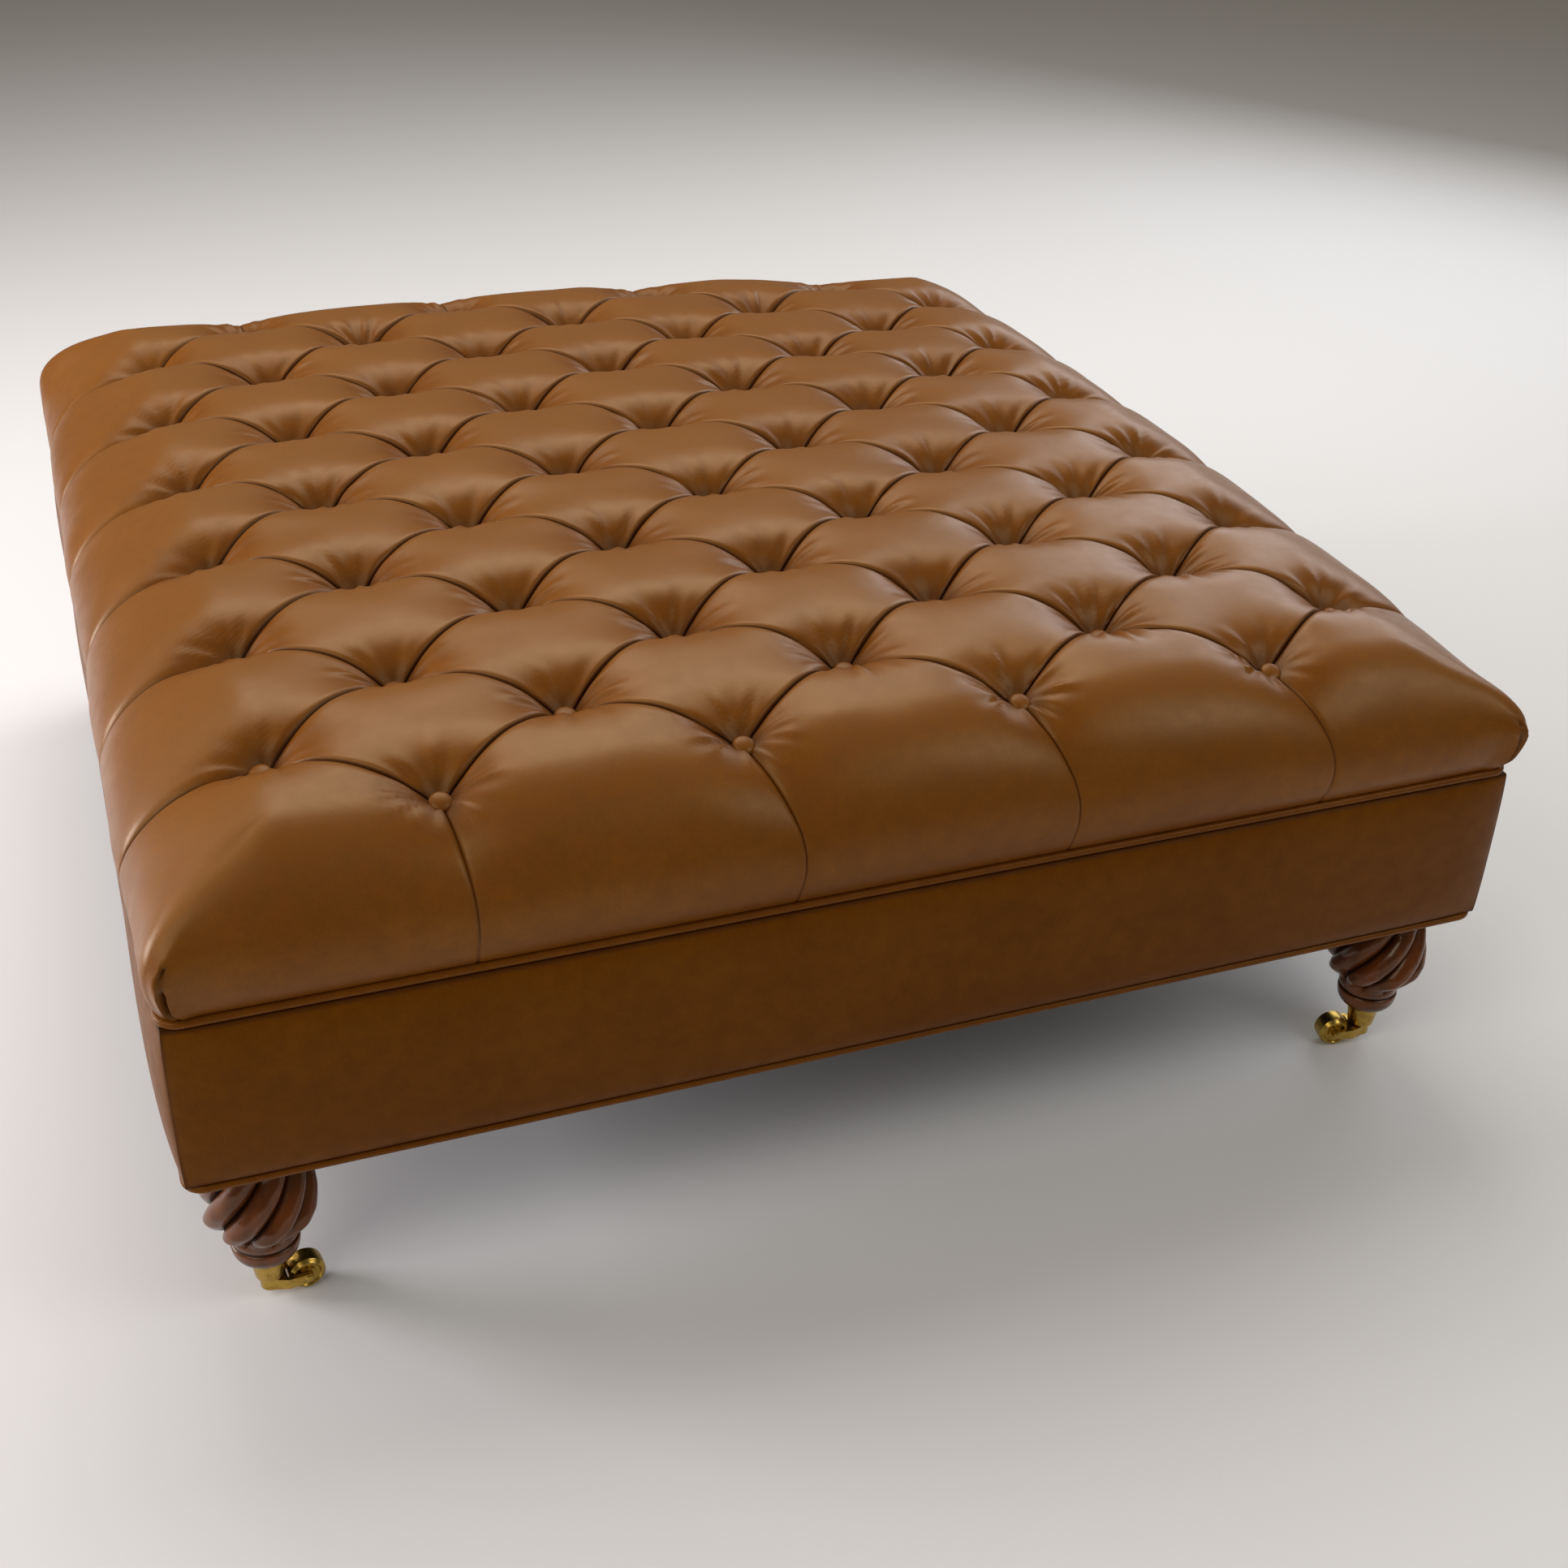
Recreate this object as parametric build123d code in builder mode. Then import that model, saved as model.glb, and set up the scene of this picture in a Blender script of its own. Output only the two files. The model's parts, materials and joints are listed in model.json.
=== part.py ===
from build123d import *
import os
from math import asin, cos, radians, sin, sqrt

# Square tufted ottoman on four carved feet with brass cup castors.
# Millimetres. The origin is on the floor under the middle, +Z is up, the front is at -Y.

# Plan and frame
plan_size = 1219.0
band_thickness = 12.0
rail_thickness = 25.0
rail_height = 144.0
cross_rail_width = 25.0
cross_rail_height = 70.0
cross_rail_offset = 190.0
block_size = 90.0
block_height = 45.0
block_chamfer = 40.0
deck_thickness = 18.0

# Castors
wheel_diameter = 32.0
wheel_width = 20.0
wheel_edge_radius = 3.0
wheel_hub_diameter = 15.0
wheel_rim_thickness = 4.0
wheel_face_recess = 1.6
hub_lip = 0.3
axle_diameter = 5.0
axle_head_diameter = 8.0
axle_head_height = 1.6
running_clearance = 0.06
cheek_clearance = 0.4
trail = 30.0
horn_height = 11.0
horn_boss_diameter = 19.0
horn_edge_radius = 1.2
arm_thickness = 4.0
arm_end_radius = 5.5
web_clearance = 1.5
swivel_gap = 0.3
cup_height = 26.0
cup_top_diameter = 33.0
cup_bottom_diameter = 25.0
cup_wall = 1.8
cup_floor = 4.0
cup_foot_radius = 2.0
rivet_diameter = 6.0
rivet_head_diameter = 11.0
rivet_head_height = 2.4
cup_screw_diameter = 2.6
cup_screw_head_diameter = 5.0
cup_screw_head_height = 1.4
cup_screw_length = 9.0
cup_screw_drop = 6.0

# Feet
foot_inset = 57.0
collar_height = 22.0
collar_diameter = 59.0
collar_foot_diameter = 35.0
collar_groove_depth = 3.0
collar_groove_height = 3.0
bulb_height = 112.0
bulb_diameter = 98.0
lobe_depth = 9.5
lobe_count = 8
lobe_turn = 120.0
tenon_clearance = 0.1
bolt_diameter = 8.0
bolt_grip_in_foot = 42.0
bolt_stand_out = 6.0
t_nut_diameter = 10.0
t_nut_length = 11.0
t_nut_flange_diameter = 22.0
t_nut_flange_thickness = 1.6
thread_clearance = 0.05

# Welts and band
welt_diameter = 7.0
welt_flange_thickness = 2.0
welt_flange_width = 17.0
welt_corner_radius = 16.0
band_bulge = 13.0
band_end_bulge = 2.0
seam_gap = 0.2

# Tufting
button_pitch_x = 250.4
button_pitch_y = 90.5
button_rows = 13
long_row_buttons = 5
cushion_height = 162.0
slab_height = 86.0
crown_drop_x = 25.0
crown_drop_y = 12.0
tuft_depth = 34.0
fold_slit = 5.0
slit_depth = 20.0
slab_corner_radius = 30.0
button_diameter = 19.0
button_height = 5.5
button_rim_height = 1.6
button_clearance = 4.5
seat_diameter = 22.0
shank_diameter = 3.6
shank_length = 6.0
twine_diameter = 2.4
twine_hole_diameter = 4.0
knot_diameter = 6.0
washer_diameter = 20.0
washer_thickness = 2.5
foam_half_inset = 50.0
foam_height = 76.0
foam_gap = 0.3

# Edge panels
side_bulge = 6.0
side_inset = 4.0
corner_lift_size = 40.0
shoulder_inset = 13.0
shoulder_drop = 32.0
pleat_tuck = 8.0
panel_end_drop = 32.0
panel_fold_drop = 20.0
puff_end_drop = 50.0

# Fasteners and dust cover
screw_diameter = 5.0
screw_head_diameter = 10.0
screw_head_height = 3.0
screw_length = 60.0
deck_screw_length = 45.0
screw_rise = 28.0
screws_per_rail = 4
dust_cover_thickness = 1.0
dust_cover_inset = 5.0
foot_hole_clearance = 2.0
tack_diameter = 1.6
tack_length = 14.0
tack_head_diameter = 8.0
tack_head_height = 0.9
tacks_per_side = 7
overrun = 10.0

# Shares chosen by hand
bulb_height_shares = (0, 0.09, 0.18, 0.3, 0.44, 0.58, 0.7, 0.82, 1.0)
bulb_radius_shares = (0.6, 0.66, 0.86, 1.0, 0.99, 0.94, 0.87, 0.78, 0.745)
lobe_depth_shares = (0.15, 0.4, 0.8, 1.0, 1.0, 1.0, 0.8, 0.4, 0.15)
collar_height_shares = (0.35, 0.75)
collar_radius_shares = (0.86, 1.0)
puff_station_shares = (-0.9, -0.72, -0.4, 0, 0.4, 0.72, 0.9)
puff_sag_share = 0.3
panel_station_shares = (-0.95, -0.75, -0.4, 0, 0.4, 0.75, 0.95)
panel_crest_share = 0.93
panel_back_shares = {0: 0.84, 0.4: 0.55, 0.75: 0.18, 0.95: -0.16}
band_station_shares = (-1.0, -0.85, -0.4, 0, 0.4, 0.85, 1.0)
arm_taper_start_share = 0.3
castor_headings = {"front_left": 6.0, "front_right": 170.0, "back_left": 35.0, "back_right": 155.0}
cup_screw_headings = {"front_left": -60.0, "front_right": -146.0, "back_left": 60.0, "back_right": 120.0}
corner_signs = {"front_left": (-1, -1), "front_right": (1, -1), "back_left": (-1, 1), "back_right": (1, 1)}

os.makedirs("parts", exist_ok=True)

# Levels and half sizes that follow from the sizes above
plan_half = plan_size / 2
rail_face = plan_half - band_thickness
rail_inner = rail_face - rail_thickness
rail_middle = rail_face - rail_thickness / 2
foot_offset = plan_half - foot_inset
axle_z = wheel_diameter / 2
horn_top_z = axle_z + horn_height / 2
horn_bottom_z = axle_z - horn_height / 2
cup_bottom_z = horn_top_z + swivel_gap
cup_top_z = cup_bottom_z + cup_height
collar_top_z = cup_top_z + collar_height
rail_bottom_z = collar_top_z + bulb_height
rail_top_z = rail_bottom_z + rail_height
deck_top_z = rail_top_z + deck_thickness
bottom_welt_z = rail_bottom_z - welt_flange_thickness / 2
top_welt_z = deck_top_z + welt_flange_thickness / 2
cover_bottom_z = deck_top_z + welt_flange_thickness
dust_cover_top_z = rail_bottom_z - welt_flange_thickness
slab_top_z = cover_bottom_z + slab_height
crest_z = cover_bottom_z + cushion_height
foam_half = plan_half - foam_half_inset
foam_top_z = deck_top_z + foam_height
slab_half = plan_half - slit_depth
welt_straight = plan_half - welt_corner_radius
half_diamond = button_pitch_x / 2
front_row_inset = plan_half - button_pitch_y * (button_rows - 1) / 2
side_row_inset = plan_half - button_pitch_x * (long_row_buttons - 1) / 2


def dome(radius, base, height):
    """Half of a spherical cap's outline, from its rim at base to its top on the axis."""
    ball = (radius**2 + height**2) / (2 * height)
    half_turn = asin(min(radius / ball, 1)) / 2
    middle = (ball * sin(half_turn), base + height - ball * (1 - cos(half_turn)))
    return (radius, base), middle, (0, base + height)


def crown_drop(x, y):
    """How far the cushion's crest lies below its middle, at a place in plan."""
    return crown_drop_x * (x / plan_half) ** 2 + crown_drop_y * (y / plan_half) ** 2


def button_places():
    """The plan place of every button: even rows are one button shorter."""
    places = []
    for row in range(button_rows):
        count = long_row_buttons - 1 + row % 2
        for index in range(count):
            x = button_pitch_x * (index - (count - 1) / 2)
            y = button_pitch_y * (row - (button_rows - 1) / 2)
            places.append((x, y))
    return places


def seat_z(x, y):
    """Height of the tuft's floor, where a button sits."""
    return crest_z - crown_drop(x, y) - tuft_depth


def keep(part, name):
    """Label a finished piece and write it as its own file."""
    part.label = name
    export_step(part, f"parts/{name}.step")


def placed_copy(piece, *locations):
    """Copies of one piece at the given locations, as one part."""
    with BuildPart() as copies:
        with Locations(*locations):
            add(piece)
    return copies.part


def mirrored(piece, plane):
    """The mirror image of a piece."""
    with BuildPart() as image:
        mirror(piece, about=plane)
    return image.part


def screw_solid(diameter, head_diameter, head_height, length, gap=0.0):
    """Countersunk screw along -Z with its head at zero; a gap makes its hole's cutter."""
    with BuildPart() as screw:
        with BuildSketch(Plane.XZ):
            with BuildLine():
                Polyline(
                    (0, 0),
                    (head_diameter / 2 + gap, 0),
                    (diameter / 2 + gap, -head_height),
                    (diameter / 2 + gap, diameter - length),
                    (0, -length - gap),
                    close=True,
                )
            make_face()
        revolve(axis=Axis.Z)
    return screw.part


# Screw places: two high and low through the front and back rails into the side rails,
# and one in each rail into each corner block
frame_screw_locations = []
for sign in (-1, 1):
    for side in (-1, 1):
        for height in (rail_bottom_z + rail_height / 2, rail_top_z - screw_rise):
            place = (side * rail_middle, sign * rail_face, height)
            frame_screw_locations.append(Location(place, (-sign * 90, 0, 0)))
        block_middle = rail_inner - block_size / 2
        low = rail_bottom_z + block_height / 3
        high = rail_bottom_z + block_height * 2 / 3
        for place, turn in (
            ((side * block_middle, sign * rail_face, low), (-sign * 90, 0, 0)),
            ((side * rail_face, sign * block_middle, high), (0, side * 90, 0)),
        ):
            frame_screw_locations.append(Location(place, turn))

rail_spots = [rail_inner * (2 * k + 1 - screws_per_rail) / screws_per_rail for k in range(screws_per_rail)]
deck_screw_locations = []
for sign in (-1, 1):
    for spot in rail_spots:
        deck_screw_locations.append(Location((spot, sign * rail_middle, deck_top_z)))
        deck_screw_locations.append(Location((sign * rail_middle, spot, deck_top_z)))

tack_reach = foot_offset - block_size
tack_spots = [tack_reach * (2 * k / (tacks_per_side - 1) - 1) for k in range(tacks_per_side)]
tack_z = dust_cover_top_z - dust_cover_thickness
tack_locations = []
for sign in (-1, 1):
    for spot in tack_spots:
        tack_locations.append(Location((spot, sign * rail_middle, tack_z), (180, 0, 0)))
        tack_locations.append(Location((sign * rail_middle, spot, tack_z), (180, 0, 0)))

frame_screw = screw_solid(screw_diameter, screw_head_diameter, screw_head_height, screw_length)
frame_screw_cutter = screw_solid(
    screw_diameter, screw_head_diameter, screw_head_height, screw_length, thread_clearance
)
deck_screw = screw_solid(screw_diameter, screw_head_diameter, screw_head_height, deck_screw_length)
deck_screw_cutter = screw_solid(
    screw_diameter, screw_head_diameter, screw_head_height, deck_screw_length, thread_clearance
)

tack = screw_solid(tack_diameter, tack_head_diameter, tack_head_height, tack_length)
tack_cutter = screw_solid(
    tack_diameter, tack_head_diameter, tack_head_height, tack_length, thread_clearance
)


def cut_holes(cutter, locations):
    """Cut the holes of one kind of fastener out of the part being built."""
    with Locations(*locations):
        add(cutter, mode=Mode.SUBTRACT)


def rail(width, depth, x, y):
    """One upright frame rail with its screw and tack holes."""
    with BuildPart() as board:
        with BuildSketch(Plane.XY.offset(rail_bottom_z)):
            with Locations((x, y)):
                Rectangle(width, depth)
        extrude(amount=rail_height)
        cut_holes(frame_screw_cutter, frame_screw_locations)
        cut_holes(deck_screw_cutter, deck_screw_locations)
        cut_holes(tack_cutter, tack_locations)
    return board.part


# Frame
keep(rail(2 * rail_face, rail_thickness, 0, -rail_middle), "rail_front")
keep(rail(2 * rail_face, rail_thickness, 0, rail_middle), "rail_back")
keep(rail(rail_thickness, 2 * rail_inner, -rail_middle, 0), "rail_left")
keep(rail(rail_thickness, 2 * rail_inner, rail_middle, 0), "rail_right")

for name, sign in (("cross_rail_left", -1), ("cross_rail_right", 1)):
    with BuildPart() as cross_rail:
        with BuildSketch(Plane.XY.offset(rail_top_z - cross_rail_height)):
            with Locations((sign * cross_rail_offset, 0)):
                Rectangle(cross_rail_width, 2 * rail_inner)
        extrude(amount=cross_rail_height)
    keep(cross_rail.part, name)

for corner, (sx, sy) in corner_signs.items():
    near = rail_inner
    far = rail_inner - block_size
    with BuildPart() as block:
        with BuildSketch(Plane.XY.offset(rail_bottom_z)):
            with BuildLine():
                Polyline(
                    (sx * near, sy * near),
                    (sx * far, sy * near),
                    (sx * far, sy * (far + block_chamfer)),
                    (sx * (far + block_chamfer), sy * far),
                    (sx * near, sy * far),
                    close=True,
                )
            make_face()
        extrude(amount=block_height)
        with Locations((sx * foot_offset, sy * foot_offset, rail_bottom_z)):
            Cylinder(
                bolt_diameter / 2 + thread_clearance,
                block_height,
                align=(Align.CENTER, Align.CENTER, Align.MIN),
                mode=Mode.SUBTRACT,
            )
        with Locations((sx * foot_offset, sy * foot_offset, rail_bottom_z + block_height)):
            Cylinder(
                t_nut_diameter / 2 + thread_clearance,
                t_nut_length,
                align=(Align.CENTER, Align.CENTER, Align.MAX),
                mode=Mode.SUBTRACT,
            )
        cut_holes(frame_screw_cutter, frame_screw_locations)
    keep(block.part, f"corner_block_{corner}")

keep(placed_copy(frame_screw, *frame_screw_locations), "frame_screws")
keep(placed_copy(deck_screw, *deck_screw_locations), "deck_screws")

# Deck, with a hole for the twine under every button
with BuildPart() as deck:
    with BuildSketch(Plane.XY.offset(rail_top_z)):
        Rectangle(2 * rail_face, 2 * rail_face)
        with Locations(*button_places()):
            Circle(twine_hole_diameter / 2, mode=Mode.SUBTRACT)
    extrude(amount=deck_thickness)
    cut_holes(deck_screw_cutter, deck_screw_locations)
keep(deck.part, "deck_board")

# Foam core
with BuildPart() as foam:
    with BuildSketch(Plane.XY.offset(deck_top_z)):
        Rectangle(2 * foam_half, 2 * foam_half)
        with Locations(*button_places()):
            Circle(twine_hole_diameter / 2, mode=Mode.SUBTRACT)
    extrude(amount=foam_height)
keep(foam.part, "foam_core")

# Dust cover and its tacks
with BuildPart() as dust_cover:
    with BuildSketch(Plane.XY.offset(dust_cover_top_z - dust_cover_thickness)):
        dust_half = plan_half - dust_cover_inset
        RectangleRounded(2 * dust_half, 2 * dust_half, welt_corner_radius - dust_cover_inset)
        with Locations(*[(sx * foot_offset, sy * foot_offset) for sx, sy in corner_signs.values()]):
            Circle(bulb_diameter / 2 * bulb_radius_shares[-1] + foot_hole_clearance, mode=Mode.SUBTRACT)
    extrude(amount=dust_cover_thickness)
    cut_holes(tack_cutter, tack_locations)
keep(dust_cover.part, "dust_cover")
keep(placed_copy(tack, *tack_locations), "dust_cover_tacks")


def welt(level):
    """A round cord round the plan, with the flat seam allowance that is stapled down."""
    straight = welt_straight
    with BuildPart() as cord:
        with BuildLine(Plane.XY.offset(level)):
            Line((0, -plan_half), (straight, -plan_half))
            CenterArc((straight, -straight), welt_corner_radius, -90, 90)
            Line((plan_half, -straight), (plan_half, straight))
            CenterArc((straight, straight), welt_corner_radius, 0, 90)
            Line((straight, plan_half), (-straight, plan_half))
            CenterArc((-straight, straight), welt_corner_radius, 90, 90)
            Line((-plan_half, straight), (-plan_half, -straight))
            CenterArc((-straight, -straight), welt_corner_radius, 180, 90)
            Line((-straight, -plan_half), (0, -plan_half))
        with BuildSketch(Plane(origin=(0, -plan_half, level), z_dir=(1, 0, 0))):
            Circle(welt_diameter / 2)
        sweep()
        with BuildSketch(Plane.XY.offset(level - welt_flange_thickness / 2)):
            RectangleRounded(2 * plan_half, 2 * plan_half, welt_corner_radius)
            inner = plan_half - welt_flange_width
            Rectangle(2 * inner, 2 * inner, mode=Mode.SUBTRACT)
        extrude(amount=welt_flange_thickness)
    return cord.part


keep(welt(top_welt_z), "welt_top")
keep(welt(bottom_welt_z), "welt_bottom")


def band_panel():
    """The front panel of the band: flat behind, bulged in front, mitred at both ends."""
    low = bottom_welt_z + welt_diameter / 2 + seam_gap
    high = top_welt_z - welt_diameter / 2 - seam_gap
    with BuildPart() as panel:
        for share in band_station_shares:
            bulge = band_bulge - (band_bulge - band_end_bulge) * abs(share) ** 8
            with BuildSketch(Plane.YZ.offset(share * plan_half)):
                with BuildLine():
                    Polyline((-plan_half, low), (-rail_face, low), (-rail_face, high), (-plan_half, high))
                    ThreePointArc(
                        (-plan_half, high),
                        (-plan_half - bulge, (low + high) / 2),
                        (-plan_half, low),
                    )
                make_face()
        loft()
        reach = plan_half + band_bulge + overrun
        with BuildSketch(Plane.XY.offset(low - overrun)):
            with BuildLine():
                Polyline((0, 0), (-reach, -reach), (reach, -reach), close=True)
            make_face()
        extrude(amount=high - low + 2 * overrun, mode=Mode.INTERSECT)
    return panel.part


band_front = band_panel()
for name, turn in (("band_front", 0), ("band_right", 90), ("band_back", 180), ("band_left", -90)):
    keep(placed_copy(band_front, Location((0, 0, 0), (0, 0, turn))), name)


def diamond_puff():
    """One whole tuft: a crowned pillow on a diamond, its crest at zero height."""
    half_width = half_diamond - fold_slit / 2 * sqrt(half_diamond**2 + button_pitch_y**2) / button_pitch_y
    half_length = button_pitch_y - fold_slit / 2 * sqrt(half_diamond**2 + button_pitch_y**2) / half_diamond
    tip = button_pitch_y - button_diameter / 2 - button_clearance
    with BuildPart() as puff:
        for share in puff_station_shares:
            crest = -puff_end_drop * (1 - sqrt(1 - share**2))
            reach = min(half_length * (1 - abs(share)), tip)
            fold = crest - puff_sag_share * reach
            base = -cushion_height + slab_height - slit_depth / 2
            with BuildSketch(Plane.YZ.offset(share * half_width)):
                with BuildLine():
                    Polyline((-reach, fold), (-reach, base), (reach, base), (reach, fold))
                    ThreePointArc((reach, fold), (0, crest), (-reach, fold))
                make_face()
        loft()
    return puff.part


def edge_outline(back, tuck, crest):
    """Outline of an edge panel: up from the welt, over the shoulder and in to its fold."""
    foot = (-(plan_half - side_inset), cover_bottom_z)
    shoulder = (-(plan_half - shoulder_inset - tuck), crest - shoulder_drop)
    belly = (-(plan_half + side_bulge - tuck), (shoulder[1] + foot[1]) / 2)
    fold = (back, crest - panel_fold_drop)
    Polyline(fold, (back, foot[1]), foot)
    ThreePointArc(foot, belly, shoulder)
    ThreePointArc(shoulder, ((shoulder[0] + back) / 2, crest), fold)


def edge_puff(row_inset, half_length, depth, crest):
    """A panel of the front edge between two pleats, about the middle of the edge."""
    row = -(plan_half - row_inset)
    with BuildPart() as puff:
        for share in panel_station_shares:
            roundness = 1 - sqrt(1 - share**2)
            with BuildSketch(Plane.YZ.offset(share * (half_length - fold_slit / 2))):
                with BuildLine():
                    edge_outline(
                        row + panel_back_shares[abs(share)] * depth,
                        pleat_tuck * roundness,
                        crest - panel_end_drop * roundness,
                    )
                make_face()
        loft()
    return puff.part


def corner_puff(crest):
    """The front-left corner panel: the two edge outlines meet in an upright fold at the corner."""
    row_y = -(plan_half - front_row_inset)
    row_x = -(plan_half - side_row_inset)
    pleat_x = -button_pitch_x * (long_row_buttons - 2) / 2 - fold_slit / 2
    pleat_y = row_y + button_pitch_y - fold_slit / 2
    margin = button_diameter / 2 + button_clearance
    reach = plan_half + side_bulge
    with BuildPart() as puff:
        with BuildSketch(Plane.YZ.offset(-reach)):
            with BuildLine():
                edge_outline(pleat_y, pleat_tuck / 2, crest)
            make_face()
        extrude(amount=2 * reach)
        with BuildSketch(Plane.XZ.offset(-reach)):
            with BuildLine():
                edge_outline(pleat_x, pleat_tuck / 2, crest)
            make_face()
        extrude(amount=2 * reach, mode=Mode.INTERSECT)
        with BuildSketch(Plane.XY.offset(cover_bottom_z)):
            with BuildLine():
                Polyline(
                    (-reach, -reach),
                    (pleat_x, -reach),
                    (pleat_x, row_y - margin),
                    (pleat_x - margin, row_y - margin / 2),
                    (row_x - margin / 2, pleat_y - margin),
                    (row_x - margin, pleat_y),
                    (-reach, pleat_y),
                    close=True,
                )
            make_face()
        extrude(amount=cushion_height, mode=Mode.INTERSECT)
    return puff.part


def row_places(count, pitch):
    """Evenly spaced places about the middle."""
    return [pitch * (index - (count - 1) / 2) for index in range(count)]


# The tufted cover: a slab with a pillow for every diamond, edge panel and corner
diamond = diamond_puff()
diamond_locations = []
for row in range(1, button_rows - 1):
    count = long_row_buttons - 1 - (row + 1) % 2
    for x in row_places(count, button_pitch_x):
        y = button_pitch_y * (row - (button_rows - 1) / 2)
        diamond_locations.append(Location((x, y, crest_z - crown_drop(x, y))))
panel_crest = plan_half * panel_crest_share
front_left = corner_puff(crest_z - crown_drop(panel_crest, panel_crest))
front_right = mirrored(front_left, Plane.YZ)

with BuildPart() as cover:
    with BuildSketch(Plane.XY.offset(cover_bottom_z)):
        RectangleRounded(2 * slab_half, 2 * slab_half, slab_corner_radius)
    extrude(amount=slab_height)
    with Locations(*diamond_locations):
        add(diamond)
    for x in row_places(long_row_buttons - 2, button_pitch_x):
        crest = crest_z - crown_drop(x, panel_crest)
        panel = edge_puff(front_row_inset, half_diamond, button_pitch_y, crest)
        for turn in (0, 180):
            add(panel.moved(Location((0, 0, 0), (0, 0, turn)) * Location((x, 0, 0))))
    for y in row_places(long_row_buttons, 2 * button_pitch_y):
        crest = crest_z - crown_drop(panel_crest, y)
        panel = edge_puff(side_row_inset, button_pitch_y, half_diamond, crest)
        for turn in (-90, 90):
            add(panel.moved(Location((0, 0, 0), (0, 0, turn)) * Location((y, 0, 0))))
    add(front_left)
    add(front_right)
    add(mirrored(front_left, Plane.XZ))
    add(mirrored(front_right, Plane.XZ))
    for x, y in button_places():
        with Locations((x, y, slab_top_z - slit_depth / 2)):
            Cylinder(
                seat_diameter / 2,
                seat_z(x, y) - slab_top_z + slit_depth / 2,
                align=(Align.CENTER, Align.CENTER, Align.MIN),
            )
    with BuildSketch(Plane.XY.offset(cover_bottom_z)):
        for sx, sy in corner_signs.values():
            with Locations((sx * welt_straight, sy * welt_straight)):
                align = (Align.MIN if sx > 0 else Align.MAX, Align.MIN if sy > 0 else Align.MAX)
                Rectangle(corner_lift_size, corner_lift_size, align=align)
                Circle(welt_corner_radius - side_inset, mode=Mode.SUBTRACT)
    extrude(amount=welt_diameter / 2 - welt_flange_thickness / 2 + seam_gap, mode=Mode.SUBTRACT)
    with Locations((0, 0, foam_top_z + foam_gap)):
        Box(
            2 * (foam_half + foam_gap),
            2 * (foam_half + foam_gap),
            foam_height,
            align=(Align.CENTER, Align.CENTER, Align.MAX),
            mode=Mode.SUBTRACT,
        )
    with BuildSketch(Plane.XY.offset(foam_top_z)):
        with Locations(*button_places()):
            Circle(twine_hole_diameter / 2)
    extrude(amount=cushion_height, mode=Mode.SUBTRACT)
keep(cover.part, "tufted_cover")

# Buttons, twines and washers
with BuildPart() as button:
    with BuildSketch(Plane.XZ):
        with BuildLine():
            Polyline(
                (0, button_height),
                (0, -shank_length),
                (shank_diameter / 2, -shank_length),
                (shank_diameter / 2, 0),
                (button_diameter / 2, 0),
                (button_diameter / 2, button_rim_height),
            )
            ThreePointArc(*dome(button_diameter / 2, button_rim_height, button_height - button_rim_height))
        make_face()
    revolve(axis=Axis.Z)
button_locations = [Location((x, y, seat_z(x, y))) for x, y in button_places()]
keep(placed_copy(button.part, *button_locations), "tuft_buttons")

washer_bottom_z = rail_top_z - washer_thickness
with BuildPart() as twines:
    for x, y in button_places():
        with Locations((x, y, washer_bottom_z)):
            Cylinder(
                twine_diameter / 2,
                seat_z(x, y) - shank_length - washer_bottom_z,
                align=(Align.CENTER, Align.CENTER, Align.MIN),
            )
    with Locations(*[(x, y, washer_bottom_z - knot_diameter / 2) for x, y in button_places()]):
        Sphere(knot_diameter / 2)
        Cylinder(twine_diameter / 2, knot_diameter, align=(Align.CENTER, Align.CENTER, Align.CENTER))
keep(twines.part, "button_twines")

with BuildPart() as washers:
    with BuildSketch(Plane.XY.offset(washer_bottom_z)):
        with Locations(*button_places()):
            Circle(washer_diameter / 2)
            Circle(twine_diameter / 2 + thread_clearance, mode=Mode.SUBTRACT)
    extrude(amount=washer_thickness)
keep(washers.part, "twine_washers")


def lobed_outline(radius, depth, turn):
    """A closed outline of round lobes, by arcs from valley to valley."""
    pitch = 360 / lobe_count
    for index in range(lobe_count):
        points = []
        for step, reach in ((0, radius - depth), (pitch / 2, radius), (pitch, radius - depth)):
            angle = radians(turn + index * pitch + step)
            points.append((reach * cos(angle), reach * sin(angle)))
        ThreePointArc(*points)


def cup_radius(height):
    """Outer radius of the castor's tapered cup at a height above its foot."""
    return (cup_bottom_diameter + (cup_top_diameter - cup_bottom_diameter) * height / cup_height) / 2


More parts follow.
